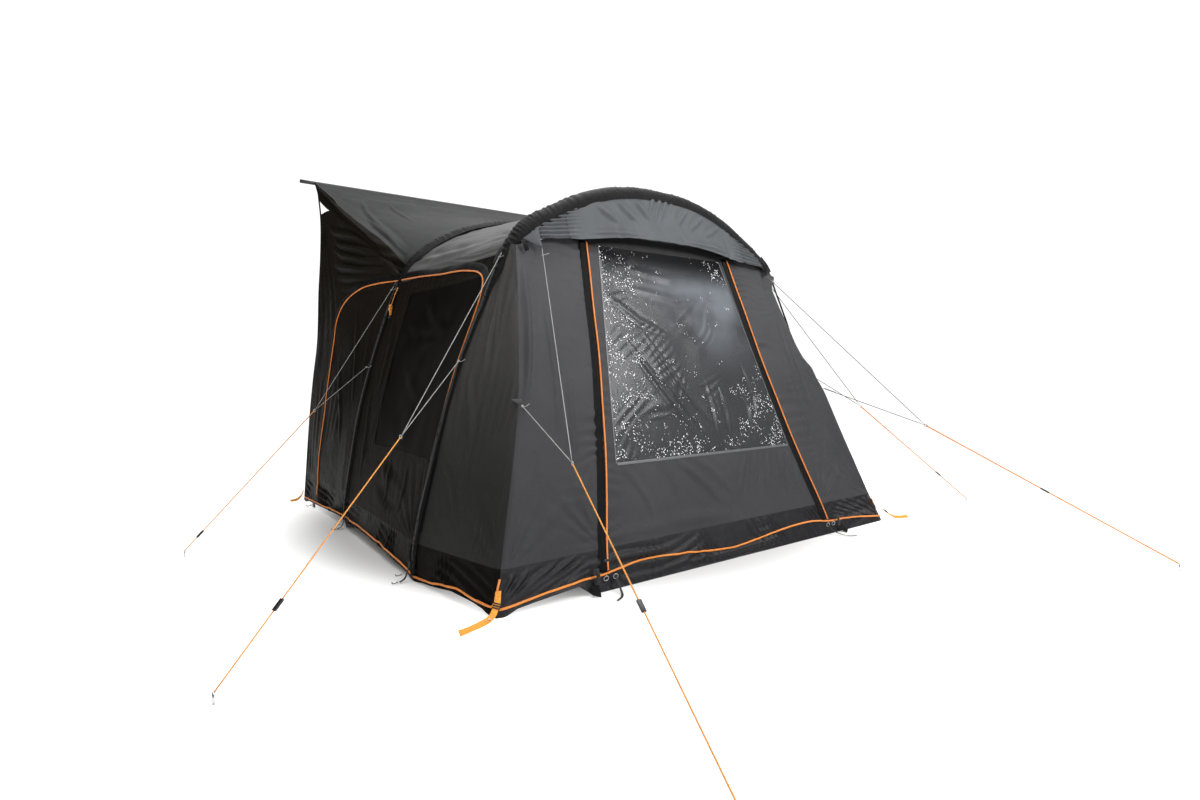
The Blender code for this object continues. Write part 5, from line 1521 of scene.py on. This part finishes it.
for tag, left in SIDES:
    sign = SIGN[tag]
    sets = {
        "rear": (strap_point(MID_LEG, MID_Y, 1.604, 0.024, sign), (1.705, 1.925, 0.775),
                 strap_point(MID_LEG, MID_Y, 1.063, 0.011, sign), (2.42, 1.81, 0.0), 0.90),
        "side": (strap_point(FRONT_LEG, ARCH_Y, 1.655, 0.006, sign), (1.72, 0.33, 0.746),
                 strap_point(FRONT_LEG, ARCH_Y, 1.09, 0.006, sign), (2.47, -0.10, 0.0), 0.70),
        "front": (Vector((0.8905 * sign, 0.5385, 1.6585)), (1.31, -0.36, 0.677),
                  Vector((1.1941 * sign, 0.2663, 0.885)), (1.62, -1.51, 0.0), 0.50),
    }
    for place, (top, ring, low, peg, share) in sets.items():
        ring = Vector((ring[0] * sign, ring[1], ring[2]))
        peg = Vector((peg[0] * sign, peg[1], peg[2]))
        path = straight(top, ring) + straight(ring, low)[1:]
        name = place + "_bridle_" + tag
        # Painted shade: the right-hand bridles take the grey cord and the right-hand guy lines the deeper orange of the
        # zip tape, darker copies of the left-hand ones.
        part(tube(name, LOOK["white" if left else "cord"], path, 0.0018 if left else 0.0024, 8), "white_cord", f"{place}_guy_bridle_{tag}")
        head = peg + Vector((0, 0, 0.035))
        along = (head - ring).normalized()
        length = (head - ring).length
        part(tube(f"{place}_line_{tag}", LOOK["guy" if left else "zip"], straight(ring + along * 0.004, head - along * 0.004), 0.0027 if left else 0.0042, 8),
             "orange_trim", f"{place}_guy_line_{tag}")
        part(torus(f"{place}_ring_{tag}", LOOK["steel"], ring + along * 0.004, along.cross(Vector((0, 0, 1))), 0.008, 0.0015),
             "bar_plastic")
        for end, (start, label) in enumerate(((top, "upper"), (low, "lower"))):
            pull = (ring - start).normalized()
            flat = pull.cross(Vector((0, 0, 1))).normalized().cross(pull)
            if not (place == "front" and label == "upper"):
                reach, wide = (0.070, 0.050) if (place, label) == ("front", "lower") else (0.034, 0.026)
                part(ribbon(f"{place}_tab_{label}_{tag}", LOOK["web"], [start - pull * 0.012, start + pull * reach * 0.3, start + pull * reach],
                            [flat] * 3, [wide, wide * 0.8, 0.010], 0.003), "black_webbing")
            knot = start + pull * (0.065 if label == "upper" else 0.040 if place != "front" else 0.074)
            part(torus(f"{place}_knot_{label}_{tag}", LOOK["white"], knot, pull, 0.0035, 0.0028, turns=12, sides=6), "white_cord")
            tail = [knot, knot + Vector((0.012 * sign * (-1 if end else 1), -0.006, -0.004)), knot + Vector((0.030 * -sign, -0.012, 0.010))]
            part(tube(f"{place}_tail_{label}_{tag}", LOOK["white"], tail, 0.0014, 6), "white_cord")
        middle = ring + along * min(length * share + 0.026, length - 0.11)
        side = along.cross(Vector((0, 0, 1))).normalized()
        part(block(f"{place}_slider_{tag}", LOOK["dark_plastic"], middle, along, side.cross(along), (0.046, 0.016, 0.009)), "bar_plastic")
        part(tube(f"{place}_peg_{tag}", LOOK["steel"], [head + Vector((0, 0, 0.004)), peg], 0.004, 10), "bar_plastic")

# Small fittings: pegging loops and rings at the hem, toggles, free straps at the shoulders.
def hook(name, at, out, size=0.016):
    """Steel ring with a bent black plastic hook that lies at the foot of the cloth."""
    at, out = Vector(at), Vector(out).normalized()
    side = out.cross(Vector((0, 0, 1))).normalized()
    part(torus(name + "_ring", LOOK["steel"], at, side + Vector((0, 0, 0.3)), size * 0.6, 0.0014), "bar_plastic")
    bend = [at, at + out * size * 1.2 - Vector((0, 0, size * 0.3)), at + out * size * 2.2 - Vector((0, 0, size * 0.2)),
            at + out * size * 2.4 + Vector((0, 0, size * 0.4))]
    part(tube(name + "_hook", LOOK["dark_plastic"], [smooth(bend, i / 12) for i in range(13)], 0.0022, 8), "bar_plastic")


def strip(name, look, slot, points, ups, width, thickness=0.0022):
    path = line_points(points, 0.006)
    ups = np.array(ups, dtype=float)
    at = np.linspace(0, len(ups) - 1, len(path))
    line = [Vector([float(np.interp(f, range(len(ups)), ups[:, k])) for k in range(3)]) for f in at]
    return part(ribbon(name, look, path, line, width, thickness), slot)


for tag, left in SIDES:
    sign = SIGN[tag]
    outward = (sign, 0, 0)
    for label, y, x in (("front", 0.682, 1.562), ("middle", 1.94, 1.527)):
        strip(f"foot_loop_{label}_{tag}", LOOK["web"], "black_webbing",
              [(sign * (x + 0.004), y - 0.005, 0.095), (sign * (x + 0.018), y - 0.008, 0.050), (sign * (x + 0.036), y - 0.012, 0.016),
               (sign * (x + 0.060), y - 0.016, 0.006)],
              [outward, outward, (0.6 * sign, 0, 0.8), (0, 0, 1)], 0.018)
        hook(f"foot_{label}_{tag}", (sign * (x + 0.070), y - 0.018, 0.010), outward, 0.012)
        hook(f"foot_b_{label}_{tag}", (sign * (x + 0.020), y + 0.070, 0.016), outward, 0.013)
    strip("rear_tail_" + tag, LOOK["orange"], "orange_trim",
          [(sign * 1.552, 3.048, 0.085), (sign * 1.566, 3.052, 0.045), (sign * 1.600, 3.050, 0.016), (sign * 1.650, 3.040, 0.012)],
          [outward, (0.8 * sign, -0.2, 0.5), (0.1, -0.6, 0.8), (0.0, -0.6, 0.8)], 0.024)
    part(block("rear_buckle_" + tag, LOOK["dark_plastic"], (sign * 1.556, 2.70, 0.022), (0, 1, 0), outward, (0.05, 0.026, 0.010)),
         "bar_plastic")
    hook("rear_" + tag, (sign * 1.556, 2.76, 0.016), outward)
    strip("zip_loop_" + tag, LOOK["web"], "black_webbing",
          [(sign * 0.935, -0.002, 0.112), (sign * 0.937, -0.014, 0.080), (sign * 0.940, -0.020, 0.040)],
          [(0, -1, 0.3)] * 3, 0.022)
    for k, height in enumerate((0.094, 0.074)):
        part(tube(f"zip_buckle_{tag}_{k}", LOOK["dark_plastic"],
                  [(sign * 0.936 - 0.014, -0.018, height), (sign * 0.936, -0.020, height), (sign * 0.936 + 0.014, -0.018, height)],
                  0.0026, 8), "bar_plastic")
    strip("mud_tip_" + tag, LOOK["flap"], "black_webbing",
          [(sign * 0.955, -0.012, 0.040), (sign * 0.962, -0.034, 0.018), (sign * 0.975, -0.055, 0.006)],
          [(0, -1, 0.4), (0, -0.8, 0.6), (0, -0.6, 0.8)], 0.046)
    for k, x in enumerate((0.889, 0.833)):
        part(torus(f"zip_ring_{tag}_{k}", LOOK["steel"], (sign * x, -0.012, 0.060), (0.2, 1, 0.2), 0.012, 0.0016), "bar_plastic")
    strip("hem_tail_" + tag, LOOK["web"], "black_webbing",
          [(sign * 0.83, -0.010, 0.060), (sign * 0.845, -0.06, 0.020), (sign * 0.88, -0.12, 0.005), (sign * 0.93, -0.15, 0.004)],
          [(0, -1, 0.4), (0, -0.7, 0.7), (0, 0, 1), (0, 0, 1)], 0.012)
    # Toggle on a cord from the zip's top, by the middle strap.
    y, x = 1.945, 1.165
    part(tube("toggle_cord_" + tag, LOOK["guy"], [(sign * (x - 0.01), y + 0.015, 1.575), (sign * (x + 0.020), y, 1.52),
                                                   (sign * (x + 0.045), y - 0.01, 1.455)], 0.0022, 6), "orange_trim")
    for k, (dz, size) in enumerate(((0.0, 0.011), (-0.018, 0.013), (-0.036, 0.010), (-0.052, 0.008))):
        part(torus(f"toggle_{tag}_{k}", LOOK["guy"], (sign * (x + 0.052), y - 0.012 + 0.005 * (k % 2), 1.445 + dz),
                   (0.3 * sign, 0.6, 0.4 + 0.5 * (k % 2)), size * 0.7, size * 0.5, turns=14, sides=8), "orange_trim")
    part(torus("toggle_end_" + tag, LOOK["dark_plastic"], (sign * (x + 0.058), y - 0.012, 1.372), (0, 1, 0.4), 0.006, 0.005,
               turns=12, sides=6), "bar_plastic")
    # Free strap from the end of the front sleeve down to its leg, and a small flap at the shoulder.
    if not left:
        strip("shoulder_strap", LOOK["web"], "black_webbing",
              [(1.040, 0.628, 1.672), (1.085, 0.642, 1.640), (1.132, 0.656, 1.588), (1.178, 0.664, 1.532), (1.230, 0.668, 1.455), (1.322, 0.668, 1.285), (1.345, 0.668, 1.200)],
              [(0.8, 0, 0.6), (0.9, 0, 0.4), (0.9, 0, 0.4), (0.9, 0, 0.3)], 0.016)
        strip("shoulder_end", LOOK["sleeve"], "sleeve_cloth",
              [(0.930, 0.620, 1.790), (0.968, 0.620, 1.760), (1.000, 0.620, 1.715), (1.034, 0.621, 1.670), (1.058, 0.624, 1.628)],
              [(0.3, -0.9, 0.2)] * 5, 0.050)
    else:
        strip("shoulder_flap", LOOK["flap"], "black_webbing",
              [(-0.990, 0.560, 1.690), (-0.985, 0.548, 1.665), (-0.975, 0.545, 1.635)],
              [(0, -1, 0.3)] * 3, 0.030)
    # Backing behind the corner where the roof, the wall and the front sleeve meet.
    strip("shoulder_patch_" + tag, LOOK["sleeve"], "sleeve_cloth",
          [(sign * 0.90, 0.702, 1.774), (sign * 0.965, 0.702, 1.738), (sign * 1.012, 0.702, 1.698), (sign * 1.045, 0.702, 1.645),
           (sign * 1.070, 0.702, 1.585)],
          [(0.5 * sign, 0, 0.85), (0.65 * sign, 0, 0.75), (0.75 * sign, 0, 0.65), (0.9 * sign, 0, 0.4), (0.9 * sign, 0, 0.3)], 0.075)
    # Seams of the front window and of the header.
    lean = Vector((0, -1, FRONT_LEAN)).normalized()
    rows = [Vector(((0.68 - 0.168 * (z - PANE_Z[0])) * sign, FRONT_LEAN * z - 0.014, z)) + lean * 0.0012
            for z in np.linspace(PANE_Z[0], PANE_Z[1], 60)]
    part(ribbon("window_seam_" + tag, LOOK["tape"], rows, [lean] * len(rows), 0.006, 0.0010), "clear_film")

lean = Vector((0, -1, FRONT_LEAN)).normalized()
for label, z, wide in (("low", PANE_Z[0], 0.014),):
    reach = 0.68 - 0.168 * (z - PANE_Z[0])
    rows = [Vector((x, FRONT_LEAN * z - 0.014, z)) + lean * 0.0016 for x in np.linspace(-reach, reach, 80)]
    part(ribbon("window_seam_" + label, LOOK["tape"], rows, [lean] * len(rows), wide, 0.0012), "clear_film")
for tag, left in SIDES:
    rows = [Vector(p) for p in WINDOW_EDGE[tag].tolist()]
    rows = line_points(rows[::4] + [rows[0]], 0.03)
    rows, ups = zip(*[SIDE_SKIN[tag].side(p.y, p.z, SIGN[tag], 0.0008) for p in rows])
    part(ribbon("window_binding_" + tag, LOOK["side"], rows, ups, 0.020, 0.0012), "side_cloth")
HEADER_SKIN = Skin(["header"])
for k, (top_x, low_x) in enumerate(((-0.70, -0.70), (-0.86, -0.87), (0.70, 0.70), (0.86, 0.87))):
    rows, ups = [], []
    for f in np.linspace(0.04, 0.96, 24):
        x = mix(low_x, top_x, f)
        low_z = float(np.interp(abs(x), *np.array(HEADER_LOW).T))
        high_z = float(np.interp(abs(x), HEADER_TOP[:, 0][::-1], HEADER_TOP[:, 2][::-1]))
        hit, normal = HEADER_SKIN.front(x, mix(low_z, high_z, f), 0.0006)
        rows.append(hit)
        ups.append(normal)
    rows, ups = evened(rows, ups, 2)
    part(ribbon(f"header_seam_{k}", LOOK["front"], rows, ups, 0.007, 0.0012), "header_cloth")

# Floor, light and camera.
WORLD_LOW = (0.085, 0.078, 0.07)
WORLD_HIGH = 1.12
FLOOR_GLOW = 0.86
floor = bpy.data.meshes.new("floor")
floor.from_pydata([(-60, -60, 0), (60, -60, 0), (60, 60, 0), (-60, 60, 0)], [], [(0, 1, 2, 3)])
paint, nodes, links, shader = start_material("floor_pale")
shader.inputs["Base Color"].default_value = (0.60, 0.60, 0.60, 1)
shader.inputs["Roughness"].default_value = 0.9
shader.inputs["Specular IOR Level"].default_value = 0.1
shader.inputs["Emission Color"].default_value = (1, 1, 1, 1)
place = nodes.new("ShaderNodeTexCoord")
shift = nodes.new("ShaderNodeVectorMath")
shift.operation = "MULTIPLY_ADD"
shift.inputs[1].default_value = (1 / 1.55, 1 / 1.53, 1.0)
shift.inputs[2].default_value = (0.0, -0.75 / 1.53, 0.0)
links.new(place.outputs["Object"], shift.inputs[0])
reach = nodes.new("ShaderNodeVectorMath")
reach.operation = "LENGTH"
links.new(shift.outputs[0], reach.inputs[0])
# Painted light: the floor glows by emission from just outside the tent's foot outwards so it reads white; close to the
# tent it has no glow and shows darker.
links.new(maths(nodes, links, "MULTIPLY", soft_step(nodes, links, reach.outputs["Value"], 1.02, 1.42), FLOOR_GLOW),
          shader.inputs["Emission Strength"])
floor.materials.append(paint)
ground = link(bpy.data.objects.new("floor", floor))

world = bpy.data.worlds.new("studio")
world.use_nodes = True
nodes, links = world.node_tree.nodes, world.node_tree.links
place = nodes.new("ShaderNodeTexCoord")
lit = None
for across_edge, soft in (((0.990, 0.139, 0.0), 0.12), ((-0.1045, 0.9945, 0.0), 0.30)):
    aim = nodes.new("ShaderNodeVectorMath")
    aim.operation = "DOT_PRODUCT"
    aim.inputs[1].default_value = across_edge
    links.new(place.outputs["Generated"], aim.inputs[0])
    step = nodes.new("ShaderNodeMapRange")
    step.interpolation_type = "SMOOTHSTEP"
    step.inputs["From Min"].default_value = -soft
    step.inputs["From Max"].default_value = 0.0
    links.new(aim.outputs["Value"], step.inputs["Value"])
    lit = step.outputs[0] if lit is None else maths(nodes, links, "MULTIPLY", lit, step.outputs[0])
glow = ramp(nodes, links, lit, [(0.0, WORLD_LOW), (1.0, (1.0, 1.0, 1.0))])
links.new(glow, nodes["Background"].inputs[0])
nodes["Background"].inputs[1].default_value = WORLD_HIGH
bpy.context.scene.world = world


def area_light(name, place, target, size, power, colour=(1, 1, 1)):
    data = bpy.data.lights.new(name, "AREA")
    data.shape = "RECTANGLE"
    data.size, data.size_y = size
    data.energy = power
    data.color = colour
    obj = link(bpy.data.objects.new(name, data))
    obj.location = place
    obj.rotation_euler = (Vector(target) - Vector(place)).to_track_quat("-Z", "Y").to_euler()
    return obj


area_light("key", (2.2, -4.4, 4.5), (0.2, 0.2, 1.1), (3.0, 2.2), 300)
area_light("fill", (-3.6, -3.0, 4.2), (-0.6, 0.3, 1.2), (2.5, 2.0), 70)
area_light("top", (0.0, 0.4, 5.6), (0.0, 0.6, 1.0), (5.0, 5.0), 260)

YAW, PITCH, ROLL = 0.63453, -0.04996, -0.00208
forward = Vector((math.sin(YAW) * math.cos(PITCH), math.cos(YAW) * math.cos(PITCH), math.sin(PITCH)))
level_right = Vector((math.cos(YAW), -math.sin(YAW), 0))
level_up = level_right.cross(forward)
right = level_right * math.cos(ROLL) + level_up * math.sin(ROLL)
up = level_up * math.cos(ROLL) - level_right * math.sin(ROLL)
lens = bpy.data.cameras.new("camera")
lens.sensor_width = 36.0
lens.lens = 19.436
lens.clip_end = 200
eye = link(bpy.data.objects.new("camera", lens))
from mathutils import Matrix
eye.matrix_world = Matrix((
    (right.x, up.x, -forward.x, -2.6639),
    (right.y, up.y, -forward.y, -2.377 - Y_MIDDLE),
    (right.z, up.z, -forward.z, 1.0356),
    (0, 0, 0, 1)))
bpy.context.scene.camera = eye
bpy.context.scene.view_settings.view_transform = "Standard"
